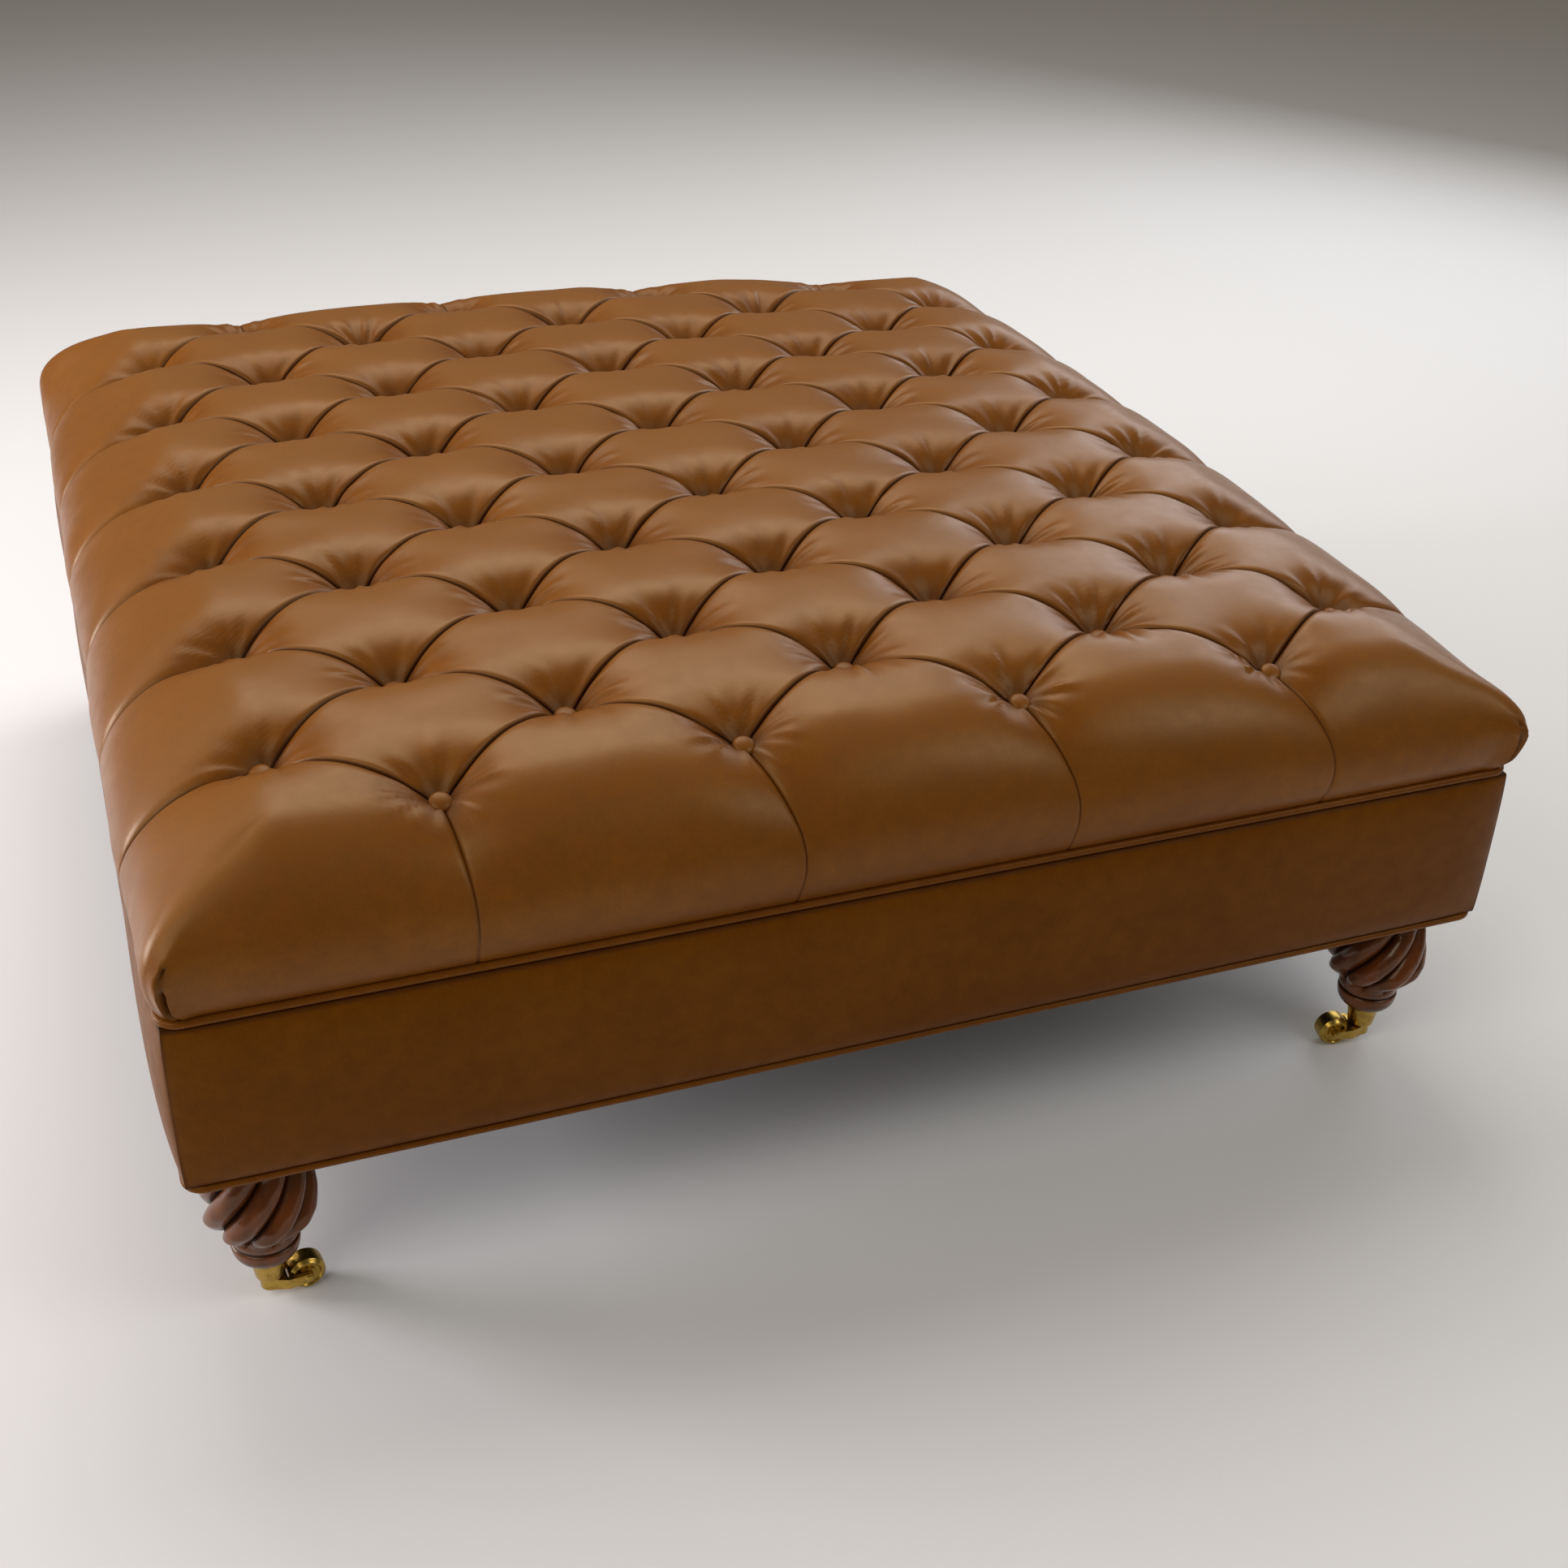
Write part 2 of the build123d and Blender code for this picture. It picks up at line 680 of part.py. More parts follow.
# One foot about the Z axis: tenon, collar and spiral-lobed bulb
tenon_low = cup_floor + rivet_head_height + swivel_gap
collar_radius = collar_diameter / 2
collar_levels = [cup_top_z + collar_height * share for share in collar_height_shares]
with BuildPart() as foot:
    with BuildSketch(Plane.XZ):
        with BuildLine():
            Polyline(
                (0, cup_bottom_z + tenon_low),
                (cup_radius(tenon_low) - cup_wall - tenon_clearance, cup_bottom_z + tenon_low),
                (cup_radius(cup_height) - cup_wall - tenon_clearance, cup_top_z),
                (collar_foot_diameter / 2, cup_top_z),
            )
            ThreePointArc(
                (collar_foot_diameter / 2, cup_top_z),
                (collar_radius * collar_radius_shares[0], collar_levels[0]),
                (collar_radius * collar_radius_shares[1], collar_levels[1]),
            )
            Polyline(
                (collar_radius, collar_levels[1]),
                (collar_radius, collar_top_z - collar_groove_height),
                (collar_radius - collar_groove_depth, collar_top_z - collar_groove_height),
                (collar_radius - collar_groove_depth, collar_top_z + collar_groove_height),
                (0, collar_top_z + collar_groove_height),
                (0, cup_bottom_z + tenon_low),
            )
        make_face()
    revolve(axis=Axis.Z)
    bulb_shares = zip(bulb_height_shares, bulb_radius_shares, lobe_depth_shares)
    for height_share, radius_share, depth_share in bulb_shares:
        with BuildSketch(Plane.XY.offset(collar_top_z + bulb_height * height_share)):
            with BuildLine():
                lobed_outline(
                    bulb_diameter / 2 * radius_share,
                    lobe_depth * depth_share,
                    lobe_turn * height_share,
                )
            make_face()
    loft()
    with Locations((0, 0, rail_bottom_z)):
        Cylinder(
            bolt_diameter / 2 + thread_clearance,
            bolt_grip_in_foot + thread_clearance,
            align=(Align.CENTER, Align.CENTER, Align.MAX),
            mode=Mode.SUBTRACT,
        )

# Castor cup, open upwards, with the rivet's hole in its floor
with BuildPart() as cup:
    with BuildSketch(Plane.XZ):
        with BuildLine():
            hole = rivet_diameter / 2 + running_clearance
            Polyline(
                (cup_radius(cup_foot_radius), cup_bottom_z + cup_foot_radius),
                (cup_radius(cup_height), cup_top_z),
                (cup_radius(cup_height) - cup_wall, cup_top_z),
                (cup_radius(cup_floor) - cup_wall, cup_bottom_z + cup_floor),
                (hole, cup_bottom_z + cup_floor),
                (hole, cup_bottom_z),
                (cup_radius(0) - cup_foot_radius, cup_bottom_z),
            )
            RadiusArc(
                (cup_radius(0) - cup_foot_radius, cup_bottom_z),
                (cup_radius(cup_foot_radius), cup_bottom_z + cup_foot_radius),
                -cup_foot_radius * 1.2,
            )
        make_face()
    revolve(axis=Axis.Z)

cup_screw = screw_solid(
    cup_screw_diameter, cup_screw_head_diameter, cup_screw_head_height, cup_screw_length
)
cup_screw_cutter = screw_solid(
    cup_screw_diameter, cup_screw_head_diameter, cup_screw_head_height, cup_screw_length, thread_clearance
)
cup_screw_z = cup_top_z - cup_screw_drop
cup_screw_reach = cup_radius(cup_height - cup_screw_drop)


def cup_screw_locations(heading):
    """Two screws on opposite sides of the cup, pointing at its axis."""
    places = []
    for turn in (heading, heading + 180):
        x = cup_screw_reach * cos(radians(turn))
        y = cup_screw_reach * sin(radians(turn))
        places.append(Location(Plane(origin=(x, y, cup_screw_z), z_dir=(x, y, 0))))
    return places


# Horn: a boss under the cup and two arms that hold the axle beside the wheel
arm_inner = wheel_width / 2 + hub_lip + cheek_clearance
arm_outer = arm_inner + arm_thickness
web_reach = trail - wheel_diameter / 2 - web_clearance
boss_radius = horn_boss_diameter / 2
with BuildPart() as horn:
    with BuildSketch(Plane.XY.offset(horn_bottom_z)):
        Circle(boss_radius)
        with BuildLine():
            Polyline(
                (0, -boss_radius),
                (web_reach, -arm_outer),
                (trail + arm_end_radius, -arm_outer),
                (trail + arm_end_radius, -arm_inner),
                (web_reach, -arm_inner),
                (web_reach, arm_inner),
                (trail + arm_end_radius, arm_inner),
                (trail + arm_end_radius, arm_outer),
                (web_reach, arm_outer),
                (0, boss_radius),
                close=True,
            )
        make_face()
    extrude(amount=horn_height)
    with BuildSketch(Plane.XZ.offset(-arm_outer - overrun)):
        with BuildLine():
            start = web_reach * arm_taper_start_share
            Polyline(
                (trail, axle_z - arm_end_radius + horn_edge_radius),
                (start, horn_bottom_z),
                (-boss_radius, horn_bottom_z),
                (-boss_radius, horn_top_z),
                (start, horn_top_z),
                (trail, axle_z + arm_end_radius - horn_edge_radius),
            )
            ThreePointArc(
                (trail, axle_z + arm_end_radius - horn_edge_radius),
                (trail + arm_end_radius - horn_edge_radius, axle_z),
                (trail, axle_z - arm_end_radius + horn_edge_radius),
            )
        make_face()
    extrude(amount=2 * (arm_outer + overrun), mode=Mode.INTERSECT)
    with Locations(Location((trail, 0, axle_z), (90, 0, 0))):
        Cylinder(axle_diameter / 2 + thread_clearance, 2 * (arm_outer + overrun), mode=Mode.SUBTRACT)
    with Locations((0, 0, axle_z)):
        Cylinder(rivet_diameter / 2 + thread_clearance, 2 * horn_height, mode=Mode.SUBTRACT)

# Swivel rivet: a pin up through the horn and the cup's floor, headed inside the cup
with BuildPart() as swivel_rivet:
    head_z = cup_bottom_z + cup_floor + running_clearance
    with BuildSketch(Plane.XZ):
        with BuildLine():
            Polyline(
                (0, horn_bottom_z),
                (rivet_diameter / 2, horn_bottom_z),
                (rivet_diameter / 2, head_z),
                (rivet_head_diameter / 2, head_z),
                (rivet_head_diameter / 2, head_z + rivet_head_height / 2),
                (rivet_diameter / 2, head_z + rivet_head_height),
                (0, head_z + rivet_head_height),
                close=True,
            )
        make_face()
    revolve(axis=Axis.Z)

# Wheel: a crowned brass drum with dished faces and a hub
wheel_half = wheel_width / 2
hub_half = wheel_half + hub_lip
with BuildPart() as wheel:
    with BuildSketch(Plane.XY):
        with BuildLine():
            bore = axle_diameter / 2 + running_clearance
            hub = wheel_hub_diameter / 2
            tread = wheel_diameter / 2
            rim = tread - wheel_rim_thickness
            dish = wheel_half - wheel_face_recess
            Polyline(
                (tread - hub_lip, wheel_half - wheel_edge_radius),
                (tread - wheel_edge_radius, wheel_half),
                (rim, wheel_half),
                (rim - wheel_face_recess, dish),
                (hub, dish),
                (hub, hub_half),
                (bore, hub_half),
                (bore, -hub_half),
                (hub, -hub_half),
                (hub, -dish),
                (rim - wheel_face_recess, -dish),
                (rim, -wheel_half),
                (tread - wheel_edge_radius, -wheel_half),
                (tread - hub_lip, -wheel_half + wheel_edge_radius),
            )
            ThreePointArc(
                (tread - hub_lip, -wheel_half + wheel_edge_radius),
                (tread, 0),
                (tread - hub_lip, wheel_half - wheel_edge_radius),
            )
        make_face()
    revolve(axis=Axis.Y)

# Axle: a rivet with a domed head outside each arm
with BuildPart() as axle:
    with BuildSketch(Plane.XY):
        with BuildLine():
            head = axle_head_diameter / 2
            rim, middle, top = dome(head, arm_outer, axle_head_height)
            Polyline((0, -arm_outer - axle_head_height), (0, arm_outer + axle_head_height))
            ThreePointArc(rim, middle, top)
            Polyline(
                (head, arm_outer),
                (axle_diameter / 2, arm_outer),
                (axle_diameter / 2, -arm_outer),
                (head, -arm_outer),
            )
            ThreePointArc((head, -arm_outer), (middle[0], -middle[1]), (0, -arm_outer - axle_head_height))
        make_face()
    revolve(axis=Axis.Y)

# Hanger bolt and T-nut about the Z axis
with BuildPart() as hanger_bolt:
    with Locations((0, 0, rail_bottom_z - bolt_grip_in_foot)):
        Cylinder(
            bolt_diameter / 2,
            bolt_grip_in_foot + block_height + bolt_stand_out,
            align=(Align.CENTER, Align.CENTER, Align.MIN),
        )

with BuildPart() as t_nut:
    with BuildSketch(Plane.XZ):
        with BuildLine():
            top = rail_bottom_z + block_height
            nut_bore = bolt_diameter / 2 + thread_clearance
            Polyline(
                (nut_bore, top - t_nut_length),
                (t_nut_diameter / 2, top - t_nut_length),
                (t_nut_diameter / 2, top),
                (t_nut_flange_diameter / 2, top),
                (t_nut_flange_diameter / 2, top + t_nut_flange_thickness),
                (nut_bore, top + t_nut_flange_thickness),
                close=True,
            )
        make_face()
    revolve(axis=Axis.Z)

corner_places = {name: (sx * foot_offset, sy * foot_offset, 0) for name, (sx, sy) in corner_signs.items()}
keep(placed_copy(hanger_bolt.part, *[Location(place) for place in corner_places.values()]), "hanger_bolts")
keep(placed_copy(t_nut.part, *[Location(place) for place in corner_places.values()]), "foot_t_nuts")

with BuildPart() as cup_screws:
    for corner, place in corner_places.items():
        with Locations(Location(place)):
            add(placed_copy(cup_screw, *cup_screw_locations(cup_screw_headings[corner])))
keep(cup_screws.part, "cup_screws")

with BuildPart() as axle_at_rest:
    with Locations((trail, 0, axle_z)):
        add(axle.part)
with BuildPart() as wheel_at_rest:
    with Locations((trail, 0, axle_z)):
        add(wheel.part)

for corner, place in corner_places.items():
    holes = cup_screw_locations(cup_screw_headings[corner])
    for name, piece in (("foot", foot.part), ("castor_cup", cup.part)):
        with BuildPart() as drilled:
            add(piece)
            with Locations(*holes):
                add(cup_screw_cutter, mode=Mode.SUBTRACT)
        keep(placed_copy(drilled.part, Location(place)), f"{name}_{corner}")
    heading = Location(place, (0, 0, castor_headings[corner]))
    for name, piece in (
        ("castor_horn", horn.part),
        ("swivel_rivet", swivel_rivet.part),
        ("castor_wheel", wheel_at_rest.part),
        ("wheel_axle", axle_at_rest.part),
    ):
        keep(placed_copy(piece, heading), f"{name}_{corner}")
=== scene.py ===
import json
import logging
import math
from dataclasses import dataclass
from enum import Enum
from typing import Sequence

import bpy
import numpy as np
from mathutils import Matrix, Vector


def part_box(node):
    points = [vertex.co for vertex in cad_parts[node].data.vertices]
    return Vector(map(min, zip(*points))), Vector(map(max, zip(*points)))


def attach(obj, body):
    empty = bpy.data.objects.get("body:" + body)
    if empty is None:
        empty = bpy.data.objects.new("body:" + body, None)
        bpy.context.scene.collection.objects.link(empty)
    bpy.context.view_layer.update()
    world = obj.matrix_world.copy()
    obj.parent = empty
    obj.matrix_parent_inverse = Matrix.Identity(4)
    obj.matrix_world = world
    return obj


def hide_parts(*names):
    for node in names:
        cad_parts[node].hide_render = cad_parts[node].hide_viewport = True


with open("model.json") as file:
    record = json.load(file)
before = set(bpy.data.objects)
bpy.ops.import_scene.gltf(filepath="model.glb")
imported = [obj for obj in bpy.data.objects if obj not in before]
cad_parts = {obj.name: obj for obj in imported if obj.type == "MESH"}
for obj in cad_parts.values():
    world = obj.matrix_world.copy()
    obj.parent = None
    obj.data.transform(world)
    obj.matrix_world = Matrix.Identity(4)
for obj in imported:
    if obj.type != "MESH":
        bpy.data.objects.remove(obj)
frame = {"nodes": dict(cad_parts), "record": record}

# The looks of a square tufted ottoman: metres, +Z up, the front at -Y, the floor at z = 0.

log = logging.getLogger("ottoman")

Array = np.ndarray
Colour = tuple[float, float, float]
CORNERS = ("front_left", "front_right", "back_left", "back_right")
SIDES = ("front", "right", "back", "left")
WELD_DISTANCE = 2e-6


# ----------------------------------------------------------------------------- numbers and noise


def smoothstep(low: float, high: float, value: Array) -> Array:
    """Rise from 0 to 1 with a flat start and end.

    Args:
        low: Where the rise starts.
        high: Where it ends.
        value: The numbers to map.

    Returns:
        3t^2 - 2t^3, where t is the clipped share of the way from low to high.
    """
    share = unit((value - low) / (high - low))
    return share * share * (3.0 - 2.0 * share)


def unit(value: Array) -> Array:
    """The value clipped to the range from 0 to 1."""
    return np.clip(value, 0.0, 1.0)


def window(edges: tuple[float, float, float, float], value: Array) -> Array:
    """1 inside, 0 outside: a smooth rise over the first two edges and a fall over the last two."""
    rise, full, hold, end = edges
    return smoothstep(rise, full, value) * (1.0 - smoothstep(hold, end, value))


def hashed(cells: Array, seed: int) -> Array:
    """A steady number from 0 to 1 for each whole-number cell: the fraction of a large sine."""
    mixed = cells @ np.array([12.9898, 78.233, 37.719]) + seed * 4.1414
    return np.abs(np.sin(mixed) * 43758.5453) % 1.0


def value_noise(points: Array, size: float, seed: int) -> Array:
    """Smooth noise: the hashed numbers at a cell's eight corners, blended by smoothstep weights.

    Args:
        points: Places, one row each.
        size: Cell size in metres.
        seed: Which noise.

    Returns:
        Numbers from -1 to 1.
    """
    scaled = points / size
    cell = np.floor(scaled)
    part = scaled - cell
    part = part * part * (3.0 - 2.0 * part)
    total = np.zeros(len(points))
    for corner in np.ndindex(2, 2, 2):
        step = np.array(corner, float)
        weight = np.prod(np.where(step > 0, part, 1.0 - part), axis=1)
        total += weight * hashed(cell + step, seed)
    return total * 2.0 - 1.0


def graded(count: int, strength: float = 1.0) -> Array:
    """Nodes from -1 to 1 that crowd towards both ends.

    Args:
        count: Number of cells.
        strength: 0 for even steps, 1 for a full cosine.

    Returns:
        A mix of even steps and minus the cosine of half a turn.
    """
    even = np.linspace(-1.0, 1.0, count + 1)
    return even * (1.0 - strength) - np.cos(np.pi * (even + 1.0) / 2.0) * strength


# ----------------------------------------------------------------------------- meshes


class Shape:
    """Mesh under construction: patches of grid faces that are welded into one surface."""

    def __init__(self) -> None:
        """Start with no patches."""
        self.points: list[Array] = []
        self.faces: list[Array] = []
        self.values: dict[str, list[Array]] = {}
        self.count = 0

    def grid(self, points: Array, flip: bool = False, **values: Array) -> None:
        """Add a rectangular patch.

        Args:
            points: Array of rows by columns by 3.
            flip: Turn the faces round.
            values: Point values that broadcast to the same rows and columns.
        """
        rows, columns = points.shape[:2]
        index = np.arange(rows * columns).reshape(rows, columns) + self.count
        quads = np.stack([index[:-1, :-1], index[:-1, 1:], index[1:, 1:], index[1:, :-1]], -1).reshape(-1, 4)
        self.faces.append(quads[:, ::-1] if flip else quads)
        self.points.append(points.reshape(-1, 3))
        for name, value in values.items():
            self.values.setdefault(name, []).append(np.broadcast_to(value, points.shape[:2]).reshape(-1))
        self.count += rows * columns

    def piece(self, name: str) -> bpy.types.Object:
        """Make the Blender object, shaded smooth, with places closer than the weld distance merged.

        Args:
            name: The piece's name.

        Returns:
            The new object, at the origin.
        """
        points = np.concatenate(self.points)
        faces = np.concatenate(self.faces)
        keys = np.round(points / WELD_DISTANCE).astype(np.int64)
        _, first, inverse = np.unique(keys, axis=0, return_index=True, return_inverse=True)
        inverse = inverse.reshape(-1)
        faces = inverse[faces]
        mesh = bpy.data.meshes.new(name)
        broken = np.zeros(len(faces), bool)
        for a in range(4):
            broken |= faces[:, a] == faces[:, (a + 1) % 4]
        loops = [quad.tolist() for quad in faces[~broken]]
        loops += [list(dict.fromkeys(quad.tolist())) for quad in faces[broken]]
        mesh.from_pydata(points[first].tolist(), [], [loop for loop in loops if len(loop) > 2])
        for label, parts in self.values.items():
            layer = mesh.attributes.new(label, "FLOAT", "POINT")
            layer.data.foreach_set("value", np.concatenate(parts)[first].astype(np.float32))
        mesh.validate()
        mesh.polygons.foreach_set("use_smooth", np.ones(len(mesh.polygons), bool))
        mesh.update()
        made = bpy.data.objects.new(name, mesh)
        bpy.context.scene.collection.objects.link(made)
        return made


def sharpen(piece: bpy.types.Object, degrees: float) -> None:
    """Mark every edge between faces that meet at more than an angle as sharp."""
    for chosen in bpy.context.selected_objects:
        chosen.select_set(False)
    bpy.context.view_layer.objects.active = piece
    piece.select_set(True)
    bpy.ops.object.shade_smooth_by_angle(angle=math.radians(degrees))
    piece.select_set(False)


def polar(radius: Array, theta: Array, height: Array) -> Array:
    """Points round the Z axis from their radius, angle and height."""
    return np.stack([radius * np.cos(theta), radius * np.sin(theta), height], -1)


def turned(points: Array, degrees: float) -> Array:
    """Points turned about the Z axis, anticlockwise from above."""
    turn = math.radians(degrees)
    matrix = np.array([[math.cos(turn), -math.sin(turn), 0], [math.sin(turn), math.cos(turn), 0], [0, 0, 1]])
    return points @ matrix.T


# ----------------------------------------------------------------------------- shader graphs


class Signal:
    """A value in a shader graph that adds Math nodes when it is used in an expression."""

    def __init__(self, graph: "Graph", socket: bpy.types.NodeSocket) -> None:
        """Wrap a socket of a graph."""
        self.graph = graph
        self.socket = socket

    def __add__(self, other: object) -> "Signal":
        """Sum."""
        return self.graph.maths("ADD", self, other)

    __radd__ = __add__

    def __sub__(self, other: object) -> "Signal":
        """Difference."""
        return self.graph.maths("SUBTRACT", self, other)

    def __rsub__(self, other: object) -> "Signal":
        """Difference, from a number."""
        return self.graph.maths("SUBTRACT", other, self)

    def __mul__(self, other: object) -> "Signal":
        """Product."""
        return self.graph.maths("MULTIPLY", self, other)

    __rmul__ = __mul__


class Graph:
    """The node graph of one material."""

    def __init__(self, name: str) -> None:
        """Make an empty material with a Principled shader.

        Args:
            name: The material's name.
        """
        self.material = bpy.data.materials.new(name)
        self.material.use_nodes = True
        self.tree = self.material.node_tree
        self.tree.nodes.clear()
        self.shader = self.tree.nodes.new("ShaderNodeBsdfPrincipled")
        output = self.tree.nodes.new("ShaderNodeOutputMaterial")
        self.tree.links.new(self.shader.outputs["BSDF"], output.inputs["Surface"])

    def connect(self, socket: bpy.types.NodeSocket, value: object) -> None:
        """Give a socket a value or a link."""
        if isinstance(value, Signal):
            self.tree.links.new(value.socket, socket)
        elif isinstance(value, tuple) and len(value) == 3 and socket.type == "RGBA":
            socket.default_value = (*value, 1.0)
        else:
            socket.default_value = value

    def node(self, kind: str, settings: dict, sockets: dict, output: object = 0) -> Signal:
        """Add a node.

        Args:
            kind: The node's type.
            settings: Its settings, set first; "stops" fills a colour ramp.
            sockets: Values or signals by socket name or index.
            output: Which output to return.

        Returns:
            The output as a signal.
        """
        made = self.tree.nodes.new(kind)
        for key, value in settings.items():
            if key == "stops":
                ramp = made.color_ramp
                while len(ramp.elements) < len(value):
                    ramp.elements.new(0.5)
                for element, (place, colour) in zip(ramp.elements, value):
                    element.position = place
                    element.color = (*colour, 1.0)
            else:
                setattr(made, key, value)
        for key, value in sockets.items():
            self.connect(made.inputs[key], value)
        return Signal(self, made.outputs[output])

    def maths(self, operation: str, *values: object) -> Signal:
        """A Math node."""
        return self.node("ShaderNodeMath", {"operation": operation}, dict(enumerate(values)))

    def place(self, scale: tuple[float, float, float] = (1.0, 1.0, 1.0)) -> Signal:
        """Object coordinates in metres, scaled along each axis."""
        place = self.node("ShaderNodeTexCoord", {}, {}, "Object")
        return self.node("ShaderNodeMapping", {}, {"Vector": place, "Scale": scale})

    def noise(self, where: Signal, scale: float, detail: float = 3.0, roughness: float = 0.5) -> Signal:
        """A noise texture's value, from 0 to 1."""
        sockets = {"Vector": where, "Scale": scale, "Detail": detail, "Roughness": roughness}
        return self.node("ShaderNodeTexNoise", {}, sockets, 0)

    def cells(self, where: Signal, scale: float, feature: str = "F1") -> Signal:
        """A Voronoi texture's distance."""
        sockets = {"Vector": where, "Scale": scale}
        return self.node("ShaderNodeTexVoronoi", {"feature": feature}, sockets, "Distance")

    def value(self, name: str) -> Signal:
        """A point value of the mesh."""
        return self.node("ShaderNodeAttribute", {"attribute_name": name}, {}, "Fac")

    def ramp(self, value: Signal, low: float, high: float) -> Signal:
        """The value's share of the way from low to high, smoothed and clipped."""
        sockets = {"Value": value, "From Min": low, "From Max": high}
        return self.node("ShaderNodeMapRange", {"interpolation_type": "SMOOTHSTEP"}, sockets, 0)

    def mix(self, share: object, first: object, second: object) -> Signal:
        """Two colours mixed by a share."""
        return self.node("ShaderNodeMix", {"data_type": "RGBA"}, {0: share, 6: first, 7: second}, 2)

    def bump(self, height: Signal, distance: float, strength: float, under: Signal | None = None) -> Signal:
        """A Bump node's normal, over another one if given."""
        sockets = {"Height": height, "Distance": distance, "Strength": strength}
        if under is not None:
            sockets["Normal"] = under
        return self.node("ShaderNodeBump", {}, sockets, 0)

    def finish(self, **sockets: object) -> bpy.types.Material:
        """Set the shader's sockets, with underscores for spaces, and return the material."""
        for key, value in sockets.items():
            self.connect(self.shader.inputs[key.replace("_", " ")], value)
        return self.material


@dataclass(frozen=True)
class Leather:
    """Semi-gloss upholstery leather: fine pebble grain, soft cloudy colour; with painted light it takes shade
    painted into the folds and a highlight painted on the crests.
    """

    name: str = "saddle_leather"
    base: Colour = (0.210, 0.063, 0.0030)
    warm: Colour = (0.240, 0.077, 0.0050)
    # deep: a darker tone for the mottle, pores and speckle, and the colour of the shade painted into the
    # folds.
    deep: Colour = (0.026, 0.0045, 0.0025)
    # crest: the colour of the highlight painted on the upward-facing puff crests.
    crest: Colour = (0.270, 0.112, 0.026)
    roughness: float = 0.37
    gloss: float = 0.40
    tint: Colour = (1.0, 0.80, 0.46)
    with_painted_light: bool = False

    def material(self) -> bpy.types.Material:
        """Make the material.

        Returns:
            The leather, which reads the mesh's fold and crest values if it is folded.
        """
        graph = Graph(self.name)
        where = graph.place()
        cloud = graph.ramp(graph.noise(where, 7.0, 4.0, 0.6), 0.3, 0.7)
        mottle = graph.ramp(graph.noise(where, 60.0, 5.0, 0.65), 0.25, 0.75)
        colour = graph.mix(cloud, self.base, self.warm)
        colour = graph.mix(mottle * 0.22, colour, self.deep)
        grain = graph.cells(where, 760.0, "DISTANCE_TO_EDGE")
        pore = graph.ramp(grain, 0.0, 0.22)
        colour = graph.mix((1.0 - pore) * 0.07, colour, self.deep)
        roughness = self.roughness + (mottle - 0.5) * 0.08
        speckle = graph.ramp(graph.noise(where, 620.0, 2.0, 0.6), 0.30, 0.70)
        colour = graph.mix(speckle * 0.13, colour, self.deep)
        if self.with_painted_light:
            fold = graph.value("fold")
            crest = graph.value("crest")
            # Painted highlight on the crests, then painted shade in the folds, funnels and hidden faces.
            colour = graph.mix(crest * 0.55, colour, self.crest)
            colour = graph.mix(fold, colour, self.deep)
            roughness = roughness + fold * 0.2 - crest * 0.03
        wrinkle = graph.noise(where, 260.0, 3.0, 0.6)
        normal = graph.bump(pore, 0.00010, 0.22)
        normal = graph.bump(wrinkle, 0.0004, 0.16, normal)
        return graph.finish(
            Base_Color=colour, Roughness=roughness, Normal=normal, Specular_IOR_Level=self.gloss,
            Specular_Tint=self.tint
        )


@dataclass(frozen=True)
class Wood:
    """Wood with long grain and pores along Z: raw timber, or polished and dark."""

    name: str
    light: Colour
    dark: Colour
    roughness: float
    gloss: float = 0.5
    tint: Colour = (1.0, 1.0, 1.0)
    worn: Colour | None = None
    along: tuple[float, float, float] = (1.0, 1.0, 0.12)

    def material(self) -> bpy.types.Material:
        """Make the material.

        Returns:
            The wood; with a worn colour it reads the mesh's groove and edge values.
        """
        graph = Graph(self.name)
        where = graph.place(self.along)
        rings = graph.noise(where, 55.0, 4.0, 0.55)
        fibre = graph.noise(where, 420.0, 3.0, 0.6)
        colour = graph.mix(graph.ramp(rings, 0.32, 0.68), self.dark, self.light)
        colour = graph.mix(graph.ramp(fibre, 0.55, 0.75) * 0.4, colour, self.dark)
        roughness = self.roughness + (fibre - 0.5) * 0.12
        if self.worn is not None:
            groove = graph.value("groove")
            edge = graph.value("edge")
            colour = graph.mix(edge * 0.6, colour, self.worn)
            colour = graph.mix(groove * 0.92, colour, (0.004, 0.0015, 0.001))
            roughness = roughness + groove * 0.25
        normal = graph.bump(fibre, 0.0004, 0.25)
        return graph.finish(
            Base_Color=colour, Roughness=roughness, Normal=normal, Specular_IOR_Level=self.gloss,
            Specular_Tint=self.tint
        )


@dataclass(frozen=True)
class Metal:
    """Metal with soft scuffs and a stain that lies in patches."""

    name: str
    base: Colour
    stain: Colour
    roughness: float
    patches: float = 0.5

    def material(self) -> bpy.types.Material:
        """Make the material.

        Returns:
            The metal.
        """
        graph = Graph(self.name)
        where = graph.place()
        stain = graph.ramp(graph.noise(where, 130.0, 5.0, 0.65), 0.42, 0.72) * self.patches
        scuff = graph.noise(graph.place((1.0, 1.0, 6.0)), 900.0, 2.0, 0.5)
        colour = graph.mix(stain, self.base, self.stain)
        roughness = self.roughness + stain * 0.22 + (scuff - 0.5) * 0.12
        normal = graph.bump(scuff, 0.00005, 0.3)
        return graph.finish(Base_Color=colour, Metallic=1.0, Roughness=roughness, Normal=normal)


